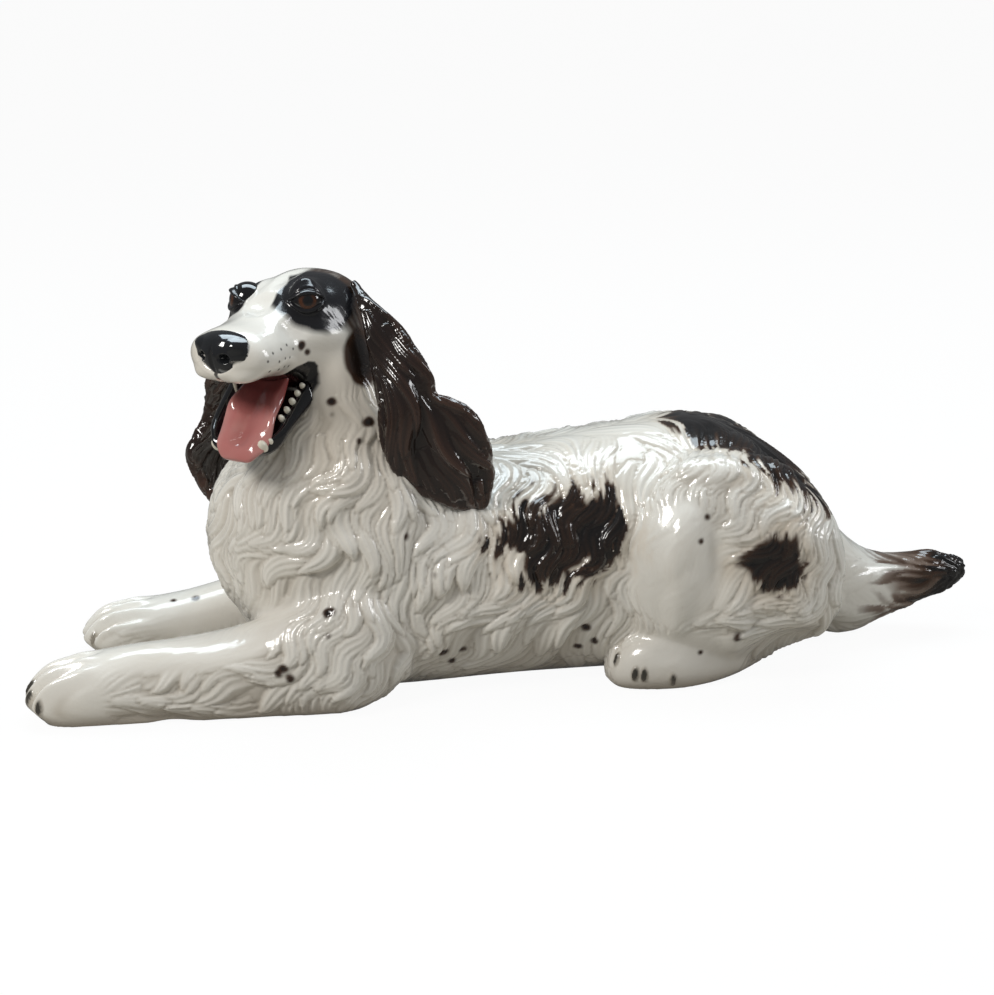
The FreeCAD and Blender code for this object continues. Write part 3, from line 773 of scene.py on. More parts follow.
normals = normals_of(skin)
at_head = to_head(points)
coat_keep = np.ones(len(points))
for place, reach, share in smooth_places:
    coat_keep *= 1 - (1 - share) * ease(near(points, place, reach), 0.0, 0.35)
from_skull = np.linalg.norm((at_head - (-20.0, 0.0, 8.0)) / (62.0, 52.0, 50.0), axis=1)
face_share = 1 - ease(from_skull, 0.95, 1.35)
coat_keep *= 1 - 0.96 * face_share
coat_keep *= 1 - ease(near(at_head, (-86.0, 0.0, -6.0), (44.0, 44.0, 36.0)), 0.0, 0.3)
coat_keep *= 1 - 0.85 * ease(-points[:, 0], 262.0, 290.0)
coat_keep *= ease(points[:, 2], 0.3, 7.0)
coat_keep *= 1 - 0.7 * ease(-normals[:, 2], 0.75, 0.95)

places, ways = both_sides(coat_guides)
head_places, head_ways = both_sides(head_guides)
places = np.vstack([places, from_head(head_places)])
ways = np.vstack([ways, head_ways @ head_axes.T])
smooth_normals = unit(relaxed(normals, links, 0.6, 12))
flow = combed(points, smooth_normals, places, ways, guide_reach)
flow = swung(points, smooth_normals, flow, wave_turn, wave_length, wave_lumps, 3)
coat_height, coat_across, coat_lock = lay_locks(
    points, smooth_normals, flow, coat_keep, lock_spacing, lock_length, lock_half_width, 11)
coat_height = np.maximum(coat_height, 0.12)
coat_seams = seams(coat_lock, coat_height, links)
rise = relaxed((coat_height - 0.5) * coat_depth, links, 0.5, 2) - seam_depth * coat_seams
points = points + smooth_normals * (rise * coat_keep)[:, None]
points[:, 2] = points[:, 2].clip(0)
set_points(skin, points)


# The markings are brushed on under the glaze in black and liver brown, with soft edges that follow
# the modelled hair. Warm grey painted shade lies in the grooves, round the claws and underneath.
milk_white = np.array((0.80, 0.78, 0.725))
# the warm grey of the painted shade in the grooves and under the dog
painted_shade_cream = np.array((0.46, 0.41, 0.34))
cream_wash = np.array((0.66, 0.56, 0.44))
claw_grey = np.array((0.050, 0.046, 0.038))
liver_brown = np.array((0.055, 0.028, 0.016))
marking_black = np.array((0.010, 0.009, 0.009))
eye_patch_black = np.array((0.012, 0.012, 0.014))
biscuit = np.array((0.62, 0.50, 0.38))
body_spots = [
    # place, radius
    ((-129.6, -61.5, 203.3), 3.2), ((-129.4, -63.7, 195.4), 1.6), ((-106.2, -61.4, 189.1), 4.0),
    ((-112.9, -67.5, 178.4), 2.2), ((-84.8, -74.7, 135.0), 3.4), ((-86.3, -80.0, 116.4), 3.2),
    ((-67.3, -81.4, 89.1), 3.6), ((-64.1, -81.4, 79.3), 1.8), ((-137.5, -90.3, 71.3), 4.0),
    ((-138.4, -96.5, 57.9), 2.0), ((-167.7, -95.2, 36.8), 3.6), ((-171.0, -95.0, 33.5), 3.0),
    ((-164.1, -95.7, 30.5), 3.0), ((-60.6, -73.8, 33.6), 3.8), ((-47.0, -72.4, 32.9), 3.4),
    ((-54.5, -68.5, 24.8), 2.8), ((35.2, -70.9, 42.5), 3.8), ((42.6, -66.4, 31.1), 3.0),
    ((32.1, -64.4, 26.6), 2.6), ((111.4, -93.5, 123.3), 2.6), ((105.1, -96.1, 108.0), 3.2),
    ((134.0, -93.7, 39.5), 4.0), ((173.7, -95.3, 57.5), 2.6), ((110.8, -87.0, 26.4), 2.0),
    ((-219.5, 49.3, 37.1), 3.0), ((-234.1, 51.4, 35.8), 2.4), ((-148.0, -65.7, 241.5), 3.2),
    ((-144.1, -63.0, 236.9), 2.4),
]
flank_outline = [(-31, 108), (-14, 121), (-6, 131), (12, 131), (34, 136), (58, 128),
                 (60, 109), (50, 97), (36, 84), (9, 76), (-8, 80), (-15, 100)]
haunch_outline = [(131, 91), (137, 97), (146, 104), (158, 107), (169, 105), (176, 95), (178, 82),
                  (171, 73), (161, 69), (150, 71), (145, 80), (138, 87)]
rump_outline = [(108, -6), (120, -26), (133, -52), (146, -72), (160, -80), (180, -80), (196, -72),
                (206, -50), (208, 0), (200, 44), (172, 66), (142, 62), (124, 34), (114, 8)]


def outline_gap(flat_points, outline):
    """Signed distance to an outline, negative inside it."""
    corners = np.array(outline, float)
    gap = np.full(len(flat_points), 1e9)
    inside = np.zeros(len(flat_points), bool)
    for a, b in zip(corners, np.roll(corners, -1, axis=0)):
        run = b - a
        offset = flat_points - a
        share = ((offset @ run) / (run @ run)).clip(0, 1)
        gap = np.minimum(gap, np.linalg.norm(offset - share[:, None] * run, axis=1))
        crosses = (a[1] > flat_points[:, 1]) != (b[1] > flat_points[:, 1])
        height = flat_points[:, 1] - a[1]
        inside ^= crosses & (flat_points[:, 0] < a[0] + height / (b[1] - a[1] + 1e-9) * run[0])
    return np.where(inside, -gap, gap)


def smeared(values, weights, links, rounds):
    """Values drawn out along the hair."""
    total = np.bincount(links[:, 0], weights, len(values))
    total = total + np.bincount(links[:, 1], weights, len(values))
    for _ in range(rounds):
        values = (np.bincount(links[:, 0], weights * values[links[:, 1]], len(values))
                  + np.bincount(links[:, 1], weights * values[links[:, 0]], len(values))
                  + 0.5 * values) / (total + 0.5)
    return values


def painted(colour, over, share):
    """One colour with another brushed over it, as thickly as the share at each point."""
    return colour * (1 - share[:, None]) + over * share[:, None]


def brushed(colour, gap, edge, brown_edge, ridges):
    """A marking: black in the middle, brown where the brush thinned out."""
    covered = 1 - ease(gap, -edge, edge)
    dark = 1 - ease(gap, -brown_edge - edge, -edge * 0.5)
    paint = painted(liver_brown, marking_black, dark * (1 - 0.55 * ridges))
    return painted(colour, paint, covered ** 1.5)


chances = 20000
lock_chance = np.random.default_rng(5).uniform(-1, 1, chances)
strand_of = (coat_lock * 4 + np.floor((coat_across + 1) * 2)).astype(np.int64) % chances
edge_ways = unit(points[links[:, 1]] - points[links[:, 0]])
combing = np.abs((edge_ways * flow[links[:, 0]]).sum(axis=1)) ** 8 + 0.01
smear_rounds = 12
strand_chance = smeared(lock_chance[strand_of], combing, links, smear_rounds) * 1.4
fleck = smeared(np.random.default_rng(6).uniform(-1, 1, len(points)), combing, links, smear_rounds) * 3.0
ridges = ease(coat_height, 0.30, 0.95)
groove = 1 - ease(coat_height, 0.10, 0.66)
on_coat = ease(coat_keep, 0.03, 0.5)
paint = painted(milk_white, cream_wash, 0.13 * (1 + murmur(points, 34.0, 40)) * (1 - 0.5 * ridges))
paint = painted(paint, cream_wash, 0.5 * near(points, (-118.0, -62.0, 190.0), (60.0, 46.0, 62.0)) ** 0.5)
# Painted shade in the coat's hollows, and darker on the lower side of each seam between locks.
paint = painted(paint, painted_shade_cream, 0.50 * groove * on_coat)
paint = painted(paint, painted_shade_cream, (0.85 * coat_seams).clip(0, 1) * on_coat)
claw_rim = 1.2
# Round each claw a ring of painted shade, then the grey nail itself.
for middle, way, half_length, half_width in claws:
    socket = claw_cover(points, smooth_normals, middle, way, half_length + claw_rim, half_width + claw_rim)
    paint = painted(paint, painted_shade_cream, 0.7 * socket)
    nail = claw_cover(points, smooth_normals, middle, way, half_length, half_width)
    paint = painted(paint, claw_grey, nail ** 1.5)
# Painted shade in the grooves between the toes.
for tips, middle, half_width in paw_sides.values():
    back = points[:, 0] - tips
    aside = (points[:, 1] - middle) / half_width
    between = (0.5 + 0.5 * np.cos(2 * math.pi * (aside * toe_waves + 0.5))) ** 6
    between *= (1 - ease(back, 18.0, 36.0)) * (np.abs(aside) < 0.95) * ease(points[:, 2], 5.0, 12.0)
    paint = painted(paint, painted_shade_cream, 0.6 * between * (points[:, 2] < 60))
# Painted shade on the low parts that face down towards the table.
underside_shade = (1 - ease(points[:, 2], 0.0, 16.0)) * ease(-normals[:, 2], -0.2, 0.6)
paint = painted(paint, painted_shade_cream, 0.62 * underside_shade)
# Painted shade on the underside of the right foreleg, towards the left one.
crook_shade = near(points, (-130.0, 40.0, 12.0), (74.0, 26.0, 30.0)) * (points[:, 1] > 22)
paint = painted(paint, painted_shade_cream * 0.4, 0.8 * ease(crook_shade, 0.15, 0.8))
wander = np.stack([murmur(points, 7.0, seed) for seed in (50, 51, 52)], axis=1)
for place, radius in body_spots:
    gap = np.linalg.norm(points + 1.1 * wander - place, axis=1) - radius
    paint = brushed(paint, gap, 1.3, 1.6, ridges * 0.5)
side_points = points[:, [0, 2]] + 2.0 * wander[:, [0, 2]]
streak = 7.0 * strand_chance
near_side = points[:, 1] < 0
on_top = points[:, 2] > 112
plan_points = points[:, :2] + 2.5 * wander[:, :2]
for flat, outline, there, share, dark in (
        (side_points, flank_outline, near_side, 1.0, 3.5),
        (side_points + (34.0, -8.0), flank_outline, ~near_side, 1.0, 4.0),
        (side_points, haunch_outline, near_side & (points[:, 0] > 110), 0.3, 3.0),
        (plan_points, rump_outline, on_top, 1.3, 7.0)):
    gap = outline_gap(flat, outline) - 2.0 + share * streak + 1.5 * fleck + np.where(there, 0, 1e3)
    paint = painted(paint, cream_wash, 0.45 * (1 - ease(gap, 0.0, 20.0)))
    paint = brushed(paint, gap, 3.0, dark, ridges)
tip = points[:, 0] + 14.0 * strand_chance + 5.0 * wander[:, 0]
paint = painted(paint, liver_brown * 2.2, 0.85 * ease(tip, 250.0, 276.0))
paint = painted(paint, liver_brown, ease(tip, 272.0, 300.0))
paint = painted(paint, marking_black, ease(tip, 296.0, 318.0))

# Black eye patches with a white blaze between them, liver brown behind the eyes and over the
# ears' roots, and the dark lip line.
at_head = to_head(points)
head_wander = at_head + 1.2 * wander
whisker_dots = [
    # forward and up in the head's frame
    (-77.9, -4.0), (-72.8, 0.6), (-64.4, 2.2), (-57.7, 4.1), (-73.5, -10.9), (-64.8, -10.6),
    (-67.8, -5.0), (-61.3, -3.7), (-55.8, -3.7), (-53.8, -9.8), (-59.4, -9.4), (-52.0, 1.2),
]
lip_outline = [(-57.0, -20.5), (-50.0, -16.5), (-44.0, -11.0), (-38.0, -8.0), (-33.0, -8.5),
               (-30.0, -11.5), (-28.6, -17.0), (-29.4, -23.0), (-32.5, -29.0), (-38.0, -37.0),
               (-62.0, -37.0)]
mouth_dark = np.array((0.030, 0.008, 0.009))
beyond = at_head[:, 0] < 45
over_brow = ease(at_head[:, 0], -28.0, -11.0)
over_crown = ease(at_head[:, 0], -2.0, 16.0)
blaze_edges = {-1: 5.0 - 8.0 * over_brow - 6.0 * over_crown,
               1: 17.0 + 1.0 * over_brow - 9.0 * over_crown}
for hand in (-1, 1):
    side = at_head[:, 1] * hand
    clear_of_blaze = ease(side + 0.8 * wander[:, 1] - blaze_edges[hand], -1.2, 1.2) * beyond
    patch = np.linalg.norm((head_wander - (-22.0, hand * 24.0, 32.0)) / (31.0, 30.0, 27.0), axis=1)
    cap = np.linalg.norm((head_wander - (14.0, hand * 30.0, 30.0)) / (35.0, 34.0, 33.0), axis=1)
    capped = (1 - ease(cap, 0.90, 1.08)) * (1 - 0.3 * ridges) * clear_of_blaze
    paint = painted(paint, liver_brown, capped)
    paint = painted(paint, eye_patch_black, (1 - ease(patch, 0.88, 1.06)) * clear_of_blaze)
    cheek = np.linalg.norm((head_wander - (-3.0, hand * 44.0, -8.0)) / (15.0, 26.0, 20.0), axis=1)
    paint = painted(paint, liver_brown, (1 - ease(cheek, 0.86, 1.08)) * beyond)
    paint = painted(paint, marking_black, 0.8 * (1 - ease(cheek, 0.5, 0.95)) * beyond)
    lip_gap = outline_gap(at_head[:, [0, 2]] + 0.5 * wander[:, [0, 2]], lip_outline)
    lip_gap = lip_gap + np.where(side > 13, 0, 99)
    paint = painted(paint, marking_black, 1 - ease(lip_gap, -0.6, 0.7))
    for x, z in whisker_dots:
        gap = np.hypot(at_head[:, 0] - x, at_head[:, 2] - z) - 0.7
        paint = painted(paint, marking_black, 0.92 * (1 - ease(gap, -0.35, 0.5)) * (side > 15))
philtrum = (np.abs(at_head[:, 1]) < 1.3) * ease(-at_head[:, 0], 70, 74) * ease(at_head[:, 2], -22, -19)
paint = painted(paint, marking_black, 0.9 * philtrum * (at_head[:, 2] < 0))
roof = ease(-at_head[:, 2], 15.0, 18.0) * (at_head[:, 0] < -16) * (np.abs(at_head[:, 1]) < 22)
roof = roof * ease(-normals[:, 2], 0.45, 0.7) * (at_head[:, 2] > -34) * (at_head[:, 0] > -74)
paint = painted(paint, mouth_dark, roof)
bare = (points[:, 2] < 0.4) & (normals[:, 2] < -0.5)
paint[bare] = biscuit


def set_colour(mesh, name, colours):
    """Writes a colour for each point, or one for all of them."""
    layer = mesh.color_attributes.new(name, "FLOAT_COLOR", "POINT")
    rows = np.ones((len(mesh.vertices), 4), np.float32)
    rows[:, :3] = colours
    layer.data.foreach_set("color", rows.ravel())


def set_number(mesh, name, values):
    layer = mesh.attributes.new(name, "FLOAT", "POINT")
    layer.data.foreach_set("value", values.astype(np.float32))


set_colour(skin, "paint", paint)
set_number(skin, "glazed", 1.0 - bare)

# The drain hole in the base is cut again where the plug stopped it.
drain_rise = 7.0
drain_room = 8.0
base_skin = 0.3
cut = bmesh.new()
cut.from_mesh(skin)
hole = Vector((plug_place[0], plug_place[1], 0.0)) * mm
floor_faces = [face for face in cut.faces if face.calc_center_median().z < base_skin * mm
               and (face.calc_center_median() - hole).length < drain_radius * mm]
bmesh.ops.delete(cut, geom=floor_faces, context="FACES")
rim = [edge for edge in cut.edges if edge.is_boundary]
for vert in {vert for edge in rim for vert in edge.verts}:
    spoke = (vert.co - hole).to_2d().normalized() * drain_radius * mm
    vert.co = (hole.x + spoke.x, hole.y + spoke.y, 0.0)
for wider, rise in ((0.0, drain_rise), (drain_room, 0.0), (0.0, 3 * drain_rise)):
    made = bmesh.ops.extrude_edge_only(cut, edges=rim)["geom"]
    rim = [item for item in made if isinstance(item, bmesh.types.BMEdge)]
    for vert in {vert for edge in rim for vert in edge.verts}:
        spoke = (vert.co - hole).to_2d().normalized() * wider * mm
        vert.co += Vector((spoke.x, spoke.y, rise * mm))
bmesh.ops.contextual_create(cut, geom=rim)
bmesh.ops.recalc_face_normals(cut, faces=cut.faces)
cut.to_mesh(skin)
cut.free()


# White glaze: glassy, over paint that lies in the clay's own colour. It pools a little, so the
# gloss wavers, and the foot ring is left bare.
def painted_glaze(name, roughness, waver, coat):
    material, start = new_material(name)
    place = start.node("ShaderNodeTexCoord").other("Object")
    colour = start.node("ShaderNodeAttribute", {"attribute_name": "paint"})
    glazed = start.node("ShaderNodeAttribute", {"attribute_name": "glazed"}, output=2)
    lumps = start.node("ShaderNodeTexNoise", None, {"Vector": place, "Scale": 90.0, "Detail": 3.0})
    fine = start.node("ShaderNodeTexNoise", None, {"Vector": place, "Scale": 420.0, "Detail": 2.0})
    shade = start.node("ShaderNodeMix", {"data_type": "RGBA", "blend_type": "MULTIPLY"},
                       {0: 0.10 * lumps, 6: colour, 7: (0.72, 0.68, 0.60)}, output=2)
    gloss = 1 - glazed * (1 - (roughness + waver * fine))
    pooled = start.node("ShaderNodeBump", None, {"Height": lumps + 0.3 * fine, "Strength": 0.10,
                                                 "Distance": 0.002})
    close_material(start, start.node("ShaderNodeBsdfPrincipled", None, {
        "Base Color": shade, "Roughness": gloss, "Coat Weight": glazed * coat, "Normal": pooled,
        "Coat Roughness": 0.04, "IOR": 1.5}))
    return material


white_glaze = painted_glaze("white_glaze", 0.16, 0.06, 0.5)


# The skin is shared out again between the castings that it covers, so that each casting has
# its own piece. The pieces meet on the skin without a seam.
chest_end = -72.0             # the trunk's own skin is in three pieces, the chest and two flanks


def shared_out(mesh, names, material):
    owner_points, owner_faces, owner_numbers = [], [], []
    count = 0
    for number, name in enumerate(names):
        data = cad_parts[name].data
        data.calc_loop_triangles()
        corners = read_out(data.loop_triangles, "vertices", 3, np.int32)
        owner_points.append(read_out(data.vertices, "co", 3))
        owner_faces.append(corners + count)
        owner_numbers.append(np.full(len(corners), number))
        count += len(data.vertices)
    numbers = np.concatenate(owner_numbers)
    tree = BVHTree.FromPolygons(np.vstack(owner_points).tolist(), np.vstack(owner_faces).tolist())
    places = points_of(mesh) * mm
    owner = numbers[[tree.find_nearest(p)[2] for p in places.tolist()]]
    mesh.calc_loop_triangles()
    corners = read_out(mesh.loop_triangles, "vertices", 3, np.int32)
    face_owner = owner[corners[:, 0]]
    middle = places[corners].mean(axis=1) / mm
    normals = normals_of(mesh)
    colours = read_out(mesh.color_attributes["paint"].data, "color", 4)
    glazed = read_out(mesh.attributes["glazed"].data, "value", 1)[:, 0]
    shares = []
    for number, name in enumerate(names):
        mine = face_owner == number
        if name == "body_shell":
            in_front = middle[:, 0] < chest_end
            shares.append(("chest_and_neck", name, mine & in_front))
            shares.append(("left_flank", name, mine & ~in_front & (middle[:, 1] < 0)))
            shares.append(("right_flank", name, mine & ~in_front & (middle[:, 1] >= 0)))
        else:
            shares.append((name.replace("_shell", "") + "_skin", name, mine))
    for title, name, mine in shares:
        used, renumbered = np.unique(corners[mine], return_inverse=True)
        piece = bpy.data.meshes.new(title)
        piece.from_pydata(places[used].tolist(), [], renumbered.reshape(-1, 3).tolist())
        set_colour(piece, "paint", colours[used, :3])
        set_number(piece, "glazed", glazed[used])
        add_piece(piece, title, name, material)
        piece.normals_split_custom_set_from_vertices(normals[used].tolist())


def add_piece(mesh, title, node, material):
    """Puts a finished mesh on the dog in place of its casting or pressed piece."""
    mesh.name = title
    mesh.materials.clear()
    mesh.materials.append(material)
    mesh.polygons.foreach_set("use_smooth", np.ones(len(mesh.polygons), bool))
    piece = bpy.data.objects.new(title, mesh)
    bpy.context.collection.objects.link(piece)
    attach(piece, "root")
    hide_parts(node)


def add_pressed(mesh, colours, title, node, material):
    """The same for a pressed piece, which is painted and glazed all over."""
    set_colour(mesh, "paint", colours)
    set_number(mesh, "glazed", np.ones(len(mesh.vertices)))
    add_piece(mesh, title, node, material)


shared_out(skin, casting_names, white_glaze)

# The ears are two pressed leaves of clay, luted under the skull's sides and carved with long
# folds that fan out below the middle. Liver brown under a thick gloss, black in the grooves.
ear_voxel = 0.85
ear_brown = np.array((0.050, 0.026, 0.018))
ear_groove = np.array((0.010, 0.007, 0.006))
ear_edge = np.array((0.020, 0.012, 0.009))
ear_places = {
    # root in the head's frame, then the ear's run and outside in the dog's
    "left": ((1.3, -35.3, 31.8), (0.50, -0.21, -0.84), (-0.20, -1.00, 0.15)),
    "right": ((15.8, 35.3, 25.8), (-0.24, 0.17, -0.96), (-0.35, 0.94, 0.05)),
}
ear_fan_start = 84.0
ear_depth = 7.2
ear_lobes = {
    # on each edge: how far down the ear, how wide, and how far the edge moves in (-) or out (+)
    "left": {"rear": ((82.0, 8.0, -8.0), (62.0, 14.0, 3.0), (106.0, 18.0, 4.0)),
             "front": ((14.0, 30.0, -9.0), (62.0, 22.0, -3.0), (112.0, 20.0, 2.5))},
    "right": {"rear": ((84.0, 8.0, -6.0), (62.0, 14.0, 3.0)),
              "front": ((103.0, 18.0, -14.0), (80.0, 14.0, -4.0), (127.0, 10.0, 3.0))},
}
ear_neck = 0.5                # how much the root is narrowed where it grows out of the skull
ear_sink = 9.0
ear_drop = 7.0
brown_glaze = painted_glaze("brown_glaze", 0.12, 0.06, 0.8)
for side, (root, run, facing) in ear_places.items():
    ear = drawn_together(copy_of("ear_" + side), "ear_" + side, ear_voxel)
    points = points_of(ear)
    links = edges_of(ear)
    points = relaxed(points, links, 0.5, 8)
    root = from_head(root)
    run = unit(np.array(run))
    outside = unit(np.array(facing) - run * (np.array(facing) @ run))
    rearward = np.cross(run, outside) * (-1 if side == "left" else 1)
    local = (points - root) @ np.stack([run, outside, rearward], axis=1)
    down, aside = local[:, 0], local[:, 2]
    narrow = ear_neck * (1 - ease(down, -12.0, 42.0))
    points = points + rearward * ((8.0 - aside).clip(0) * narrow)[:, None]
    points = points - outside * (ear_sink * (1 - ease(down, -12.0, 12.0)))[:, None]
    points = points + run * (ear_drop * (1 - ease(down, -14.0, 10.0)))[:, None]
    for edge, lobes in ((1, ear_lobes[side]["rear"]), (-1, ear_lobes[side]["front"])):
        for level, width, push in lobes:
            dent = np.exp(-((down - level) / width) ** 2) * ease(edge * aside, 4.0, 24.0)
            points = points + rearward * (edge * push * dent)[:, None]
    ripple = 2.2 * np.sin(down / 9.0 + aside / 12.0) * ease(down, 10.0, 40.0)
    points = points + outside * ripple[:, None]
    set_points(ear, points)
    normals = unit(relaxed(normals_of(ear), links, 0.6, 6))
    fan = ease(down, ear_fan_start - 14, ear_fan_start + 14)
    upper = np.stack([np.ones(len(points)), 0.010 * aside], axis=1)
    lower = np.stack([(down - ear_fan_start + 16).clip(4), aside * 1.05], axis=1)
    ways = unit(upper) * (1 - fan)[:, None] + unit(lower) * fan[:, None]
    flow = ways[:, :1] * run + ways[:, 1:] * rearward
    flow = unit(flow - normals * (flow * normals).sum(axis=1, keepdims=True))
    flow = swung(points, normals, flow, 0.34, 60.0, 34.0, 61 if side == "left" else 71)
    keep = ease(down, -8.0, 14.0) * (1 - 0.6 * ease(down, 150.0, 164.0))
    height, across, lock = lay_locks(points, normals, flow, keep, 15.0, 78.0, 8.0,
                                     31 if side == "left" else 41, most_strands=4)
    grooves = seams(lock, height, links)
    rise = relaxed((np.maximum(height, 0.1) - 0.5) * ear_depth, links, 0.5, 4) - 1.0 * grooves
    points = points + normals * (rise * keep)[:, None]
    set_points(ear, points)
    tops = ease(height, 0.30, 0.95) * (1 - 0.8 * grooves.clip(0, 1))
    colour = painted(ear_groove, ear_brown, 0.15 + 0.85 * tops)
    colour = painted(colour, ear_brown * 1.5, 0.35 * (1 + murmur(points, 22.0, 80)) * tops)
    colour = painted(colour, ear_edge, ease(np.abs(aside), 22.0, 32.0) * 0.7)
    add_pressed(ear, colour, "ear_" + side + "_folds", "ear_" + side, brown_glaze)


# The lower jaw is a trough of clay with a rolled black lip, open towards the palate.
mouth_voxel = 0.6
jaw_hinge = np.array((-21.8, 0.0, -22.4))
jaw_run = unit(np.array((-0.715, 0.0, -0.70)))
jaw_up = np.array((jaw_run[2], 0.0, -jaw_run[0]))
jaw_axes = np.stack([jaw_run, np.array((0.0, 1.0, 0.0)), jaw_up])
lip_black = np.array((0.007, 0.007, 0.008))


def in_mouth(points):
    """Millimetres along the jaw from its hinge, to the dog's right, and up into the mouth."""
    return (to_head(points) - jaw_hinge) @ jaw_axes.T


def from_mouth(local):
    return from_head(local @ jaw_axes + jaw_hinge)


jaw = drawn_together(copy_of("lower_jaw"), "jaw", mouth_voxel)
points = relaxed(points_of(jaw), edges_of(jaw), 0.5, 6)
local = in_mouth(points)
width_here = 27.0 * (1 - 0.45 * ease(local[:, 0], 40.0, 66.0))
trough = 1 - ease(np.abs(local[:, 1]) / width_here, 0.62, 0.86)
top = ease(local[:, 2], -2.0, 3.0)
local[:, 2] -= 6.0 * trough * top * (1 - ease(local[:, 0], 52.0, 60.0))
roll = np.exp(-((np.abs(local[:, 1]) / width_here - 0.95) / 0.14) ** 2) * top
local[:, 2] += 2.0 * roll
local[:, 1] += np.sign(local[:, 1]) * (1.2 * roll + 1.8 + 1.5 * ease(local[:, 0], 40.0, 56.0))
set_points(jaw, from_mouth(local))
colour = painted(lip_black, mouth_dark, trough * top)
black_glaze = painted_glaze("black_glaze", 0.08, 0.05, 1.0)
add_pressed(jaw, colour, "jaw_lip", "lower_jaw", black_glaze)


# The tongue is a pressed slab of clay, hollowed along its middle, with a thick wavy edge. It
# is painted pink, darker towards the throat and along the hollow, and paler at the edges.
tongue_pink = np.array((0.46, 0.145, 0.135))
tongue_pale = np.array((0.54, 0.27, 0.245))
tongue_dark_red = np.array((0.26, 0.055, 0.05))
tongue = drawn_together(copy_of("tongue"), "tongue", mouth_voxel)
points = relaxed(points_of(tongue), edges_of(tongue), 0.5, 8)
local = in_mouth(points)
along, side = local[:, 0].copy(), local[:, 1].copy()
edge = ease(np.abs(side), 10.0, 18.0)
hollow = np.exp(-(side / 8.0) ** 2) * ease(along, 6.0, 24.0) * (1 - ease(along, 64.0, 76.0))
crown = ease(local[:, 2], 9.0, 13.0)
local[:, 2] -= 4.0 * hollow * crown
ruffle = 1.6 * np.sin(along / 5.2 + np.sign(side) * 0.8)
local[:, 2] += edge * (ruffle + 1.4 * (1 - ease(along, 30.0, 60.0)))
local[:, 1] += np.sign(side) * edge * 1.5 * np.sin(along / 7.5 + 1.0)
local[:, 1] -= 2.0 + 2.0 * ease(along, 30.0, 60.0)
local[:, 0] -= 2.0
curl = ease(along, 66.0, 80.0)
local[:, 2] += 1.6 * np.exp(-((along - 72.0) / 4.0) ** 2) * crown - 2.0 * curl
local[:, 2] += 0.5 * murmur(points, 7.0, 90)
points = from_mouth(local)
set_points(tongue, points)
colour = painted(tongue_pink, tongue_dark_red, 1 - ease(along, 14.0, 46.0))
colour = painted(colour, tongue_dark_red, 0.45 * hollow * crown)
colour = painted(colour, tongue_pale, 0.5 * edge * ease(along, 20.0, 50.0))
colour = painted(colour, tongue_pale, 0.30 * (1 + murmur(points, 9.0, 91)) * ease(along, 30.0, 60.0))
pink_glaze = painted_glaze("pink_glaze", 0.10, 0.05, 0.8)
add_pressed(tongue, colour, "tongue_slab", "tongue", pink_glaze)


# The teeth are beads of clay set along a black gum inside the lip, with a longer one at the
# chin, and one slim upper tooth on the far side.
tooth_cream = np.array((0.80, 0.76, 0.64))
tooth_places = [
    # place along, across and up in the mouth, half width and half length
    ((11.5, 25.2, 7.6), 2.0, 3.0), ((18.0, 25.0, 8.0), 2.1, 3.2), ((24.6, 24.4, 8.0), 2.2, 3.4),
    ((31.2, 23.6, 7.6), 2.1, 3.2), ((37.6, 22.4, 6.8), 2.1, 3.3), ((55.0, 22.6, 5.6), 1.9, 3.2),
    ((60.0, 20.0, 6.6), 3.0, 5.0),
]
tooth_drop = {"left": 0.0, "right": -7.0}
mouth_turn = Matrix([from_mouth(np.eye(3)[k]) - from_mouth(np.zeros(3)) for k in range(3)]).transposed()
tooth_glaze = painted_glaze("tooth_glaze", 0.12, 0.05, 0.6)
for side, hand in (("left", -1), ("right", 1)):
    row = bmesh.new()
    for place, half_width, half_length in tooth_places:
        at = from_mouth(np.array((place[0], place[1] * hand, place[2] + tooth_drop[side])))
        turn = mouth_turn.to_4x4() @ Matrix.Diagonal((half_width, half_width, half_length, 1.0))
        bmesh.ops.create_icosphere(row, subdivisions=4, radius=mm,
                                   matrix=Matrix.Translation(Vector(at) * mm) @ turn)
    name = "teeth_" + side
    add_pressed(as_mesh(row, name), tooth_cream, name + "_beads", name, tooth_glaze)

upper_tooth_top = (-56.1, 15.5, -17.2)
upper_tooth_tip = (-51.0, 14.0, -34.5)
slim = bmesh.new()
top = Vector(from_head(upper_tooth_top))
low = Vector(from_head(upper_tooth_tip))
turn = (top - low).to_track_quat("Z", "Y").to_matrix().to_4x4()
bmesh.ops.create_cone(slim, cap_ends=True, segments=24, radius1=0.5 * mm, radius2=2.0 * mm,
                      depth=(top - low).length * mm,
                      matrix=Matrix.Translation((top + low) / 2 * mm) @ turn)
bmesh.ops.bevel(slim, geom=[edge for edge in slim.edges if len(edge.link_faces) == 2
                            and max(len(face.verts) for face in edge.link_faces) > 4],
                offset=0.35 * mm, affect="EDGES", segments=3, profile=0.5, material=-1)
add_pressed(as_mesh(slim, "upper_tooth"), tooth_cream, "upper_tooth_slim", "upper_tooth",
            tooth_glaze)


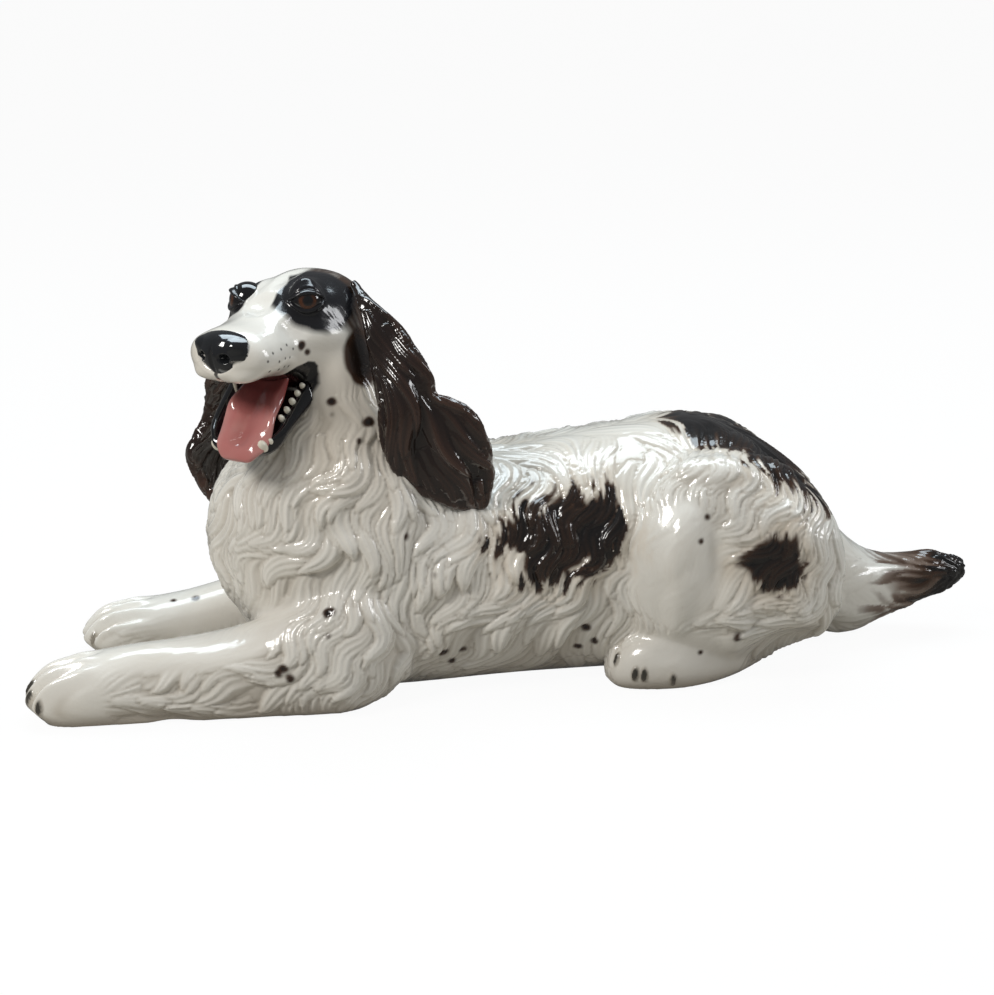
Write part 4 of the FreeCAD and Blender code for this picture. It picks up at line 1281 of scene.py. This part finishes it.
# The nose is a moulded pad, flat on top and narrow below, with two comma-shaped nostrils.
nose_black = np.array((0.012, 0.013, 0.015))
nose_strokes = [
    # place in the head's frame, reach, push
    ((-95.0, 8.8, -2.5), (10.0, 4.8, 3.8), (7.0, -0.5, 0.0)),
    ((-90.0, 16.0, -5.5), (9.0, 7.0, 3.0), (3.4, -1.8, 0.0)),
    ((-91.0, 14.0, 5.0), (10.0, 7.0, 6.0), (-1.6, 1.2, 0.6)),
    ((-97.0, 0.0, -6.0), (9.0, 2.2, 13.0), (2.0, 0.0, 0.0)),
]
nose = drawn_together(copy_of("nose_pad"), "nose", 0.45)
points = relaxed(points_of(nose), edges_of(nose), 0.5, 4)
local = to_head(points)
local[:, 2] = np.where(local[:, 2] > 8.0, 8.0 + (local[:, 2] - 8.0) * 0.72, local[:, 2])
local[:, 1] *= 1 - 0.34 * ease(-local[:, 2], 0.0, 16.0) + 0.05 * ease(local[:, 2], -2.0, 8.0)
local[:, 0] += 1.5 * ease(-local[:, 2], 2.0, 16.0) + 1.0
local[:, 1] -= 2.0
set_points(nose, from_head(pushed(local, nose_strokes)))
add_pressed(nose, nose_black, "nose_leather", "nose_pad", black_glaze)


# The eyes are balls of clay behind the lids: a brown iris round a black pupil, black beyond, and
# painted shade from the upper lid across the top of the iris.
iris_brown = np.array((0.085, 0.028, 0.010))
# darker brown for the iris's streaks and for the painted shade under the upper lid
iris_rays_and_lid_shade = np.array((0.045, 0.016, 0.008))
pupil_turn = 0.29
iris_turn = 0.52
eye_glaze = painted_glaze("eye_glaze", 0.05, 0.03, 1.0)
for side, place in eye_places.items():
    hand = -1 if side == "left" else 1
    ball = bmesh.new()
    forward = unit(eye_axis * (1, hand, 1))
    bmesh.ops.create_uvsphere(ball, u_segments=96, v_segments=64, radius=eyeball_radius * mm,
                              matrix=Matrix.Translation(Vector(from_head(place)) * mm))
    name = "eye_" + side
    mesh = as_mesh(ball, name)
    way = unit(to_head(points_of(mesh)) - place)
    turn = np.arccos((way @ forward).clip(-1, 1))
    rays = murmur(unit(way - forward * (way @ forward)[:, None]) * 6.0, 1.0, 95)
    colour = painted(iris_brown, iris_rays_and_lid_shade, 0.45 + 0.35 * rays)
    # Painted shade from the upper lid darkens the top of the iris.
    colour = painted(colour, iris_rays_and_lid_shade, ease(way[:, 2], 0.10, 0.42))
    colour = painted(colour, lip_black, ease(turn, iris_turn - 0.08, iris_turn + 0.03))
    colour = painted(colour, lip_black, 1 - ease(turn, pupil_turn - 0.04, pupil_turn + 0.03))
    add_pressed(mesh, colour, name + "_ball", name, eye_glaze)
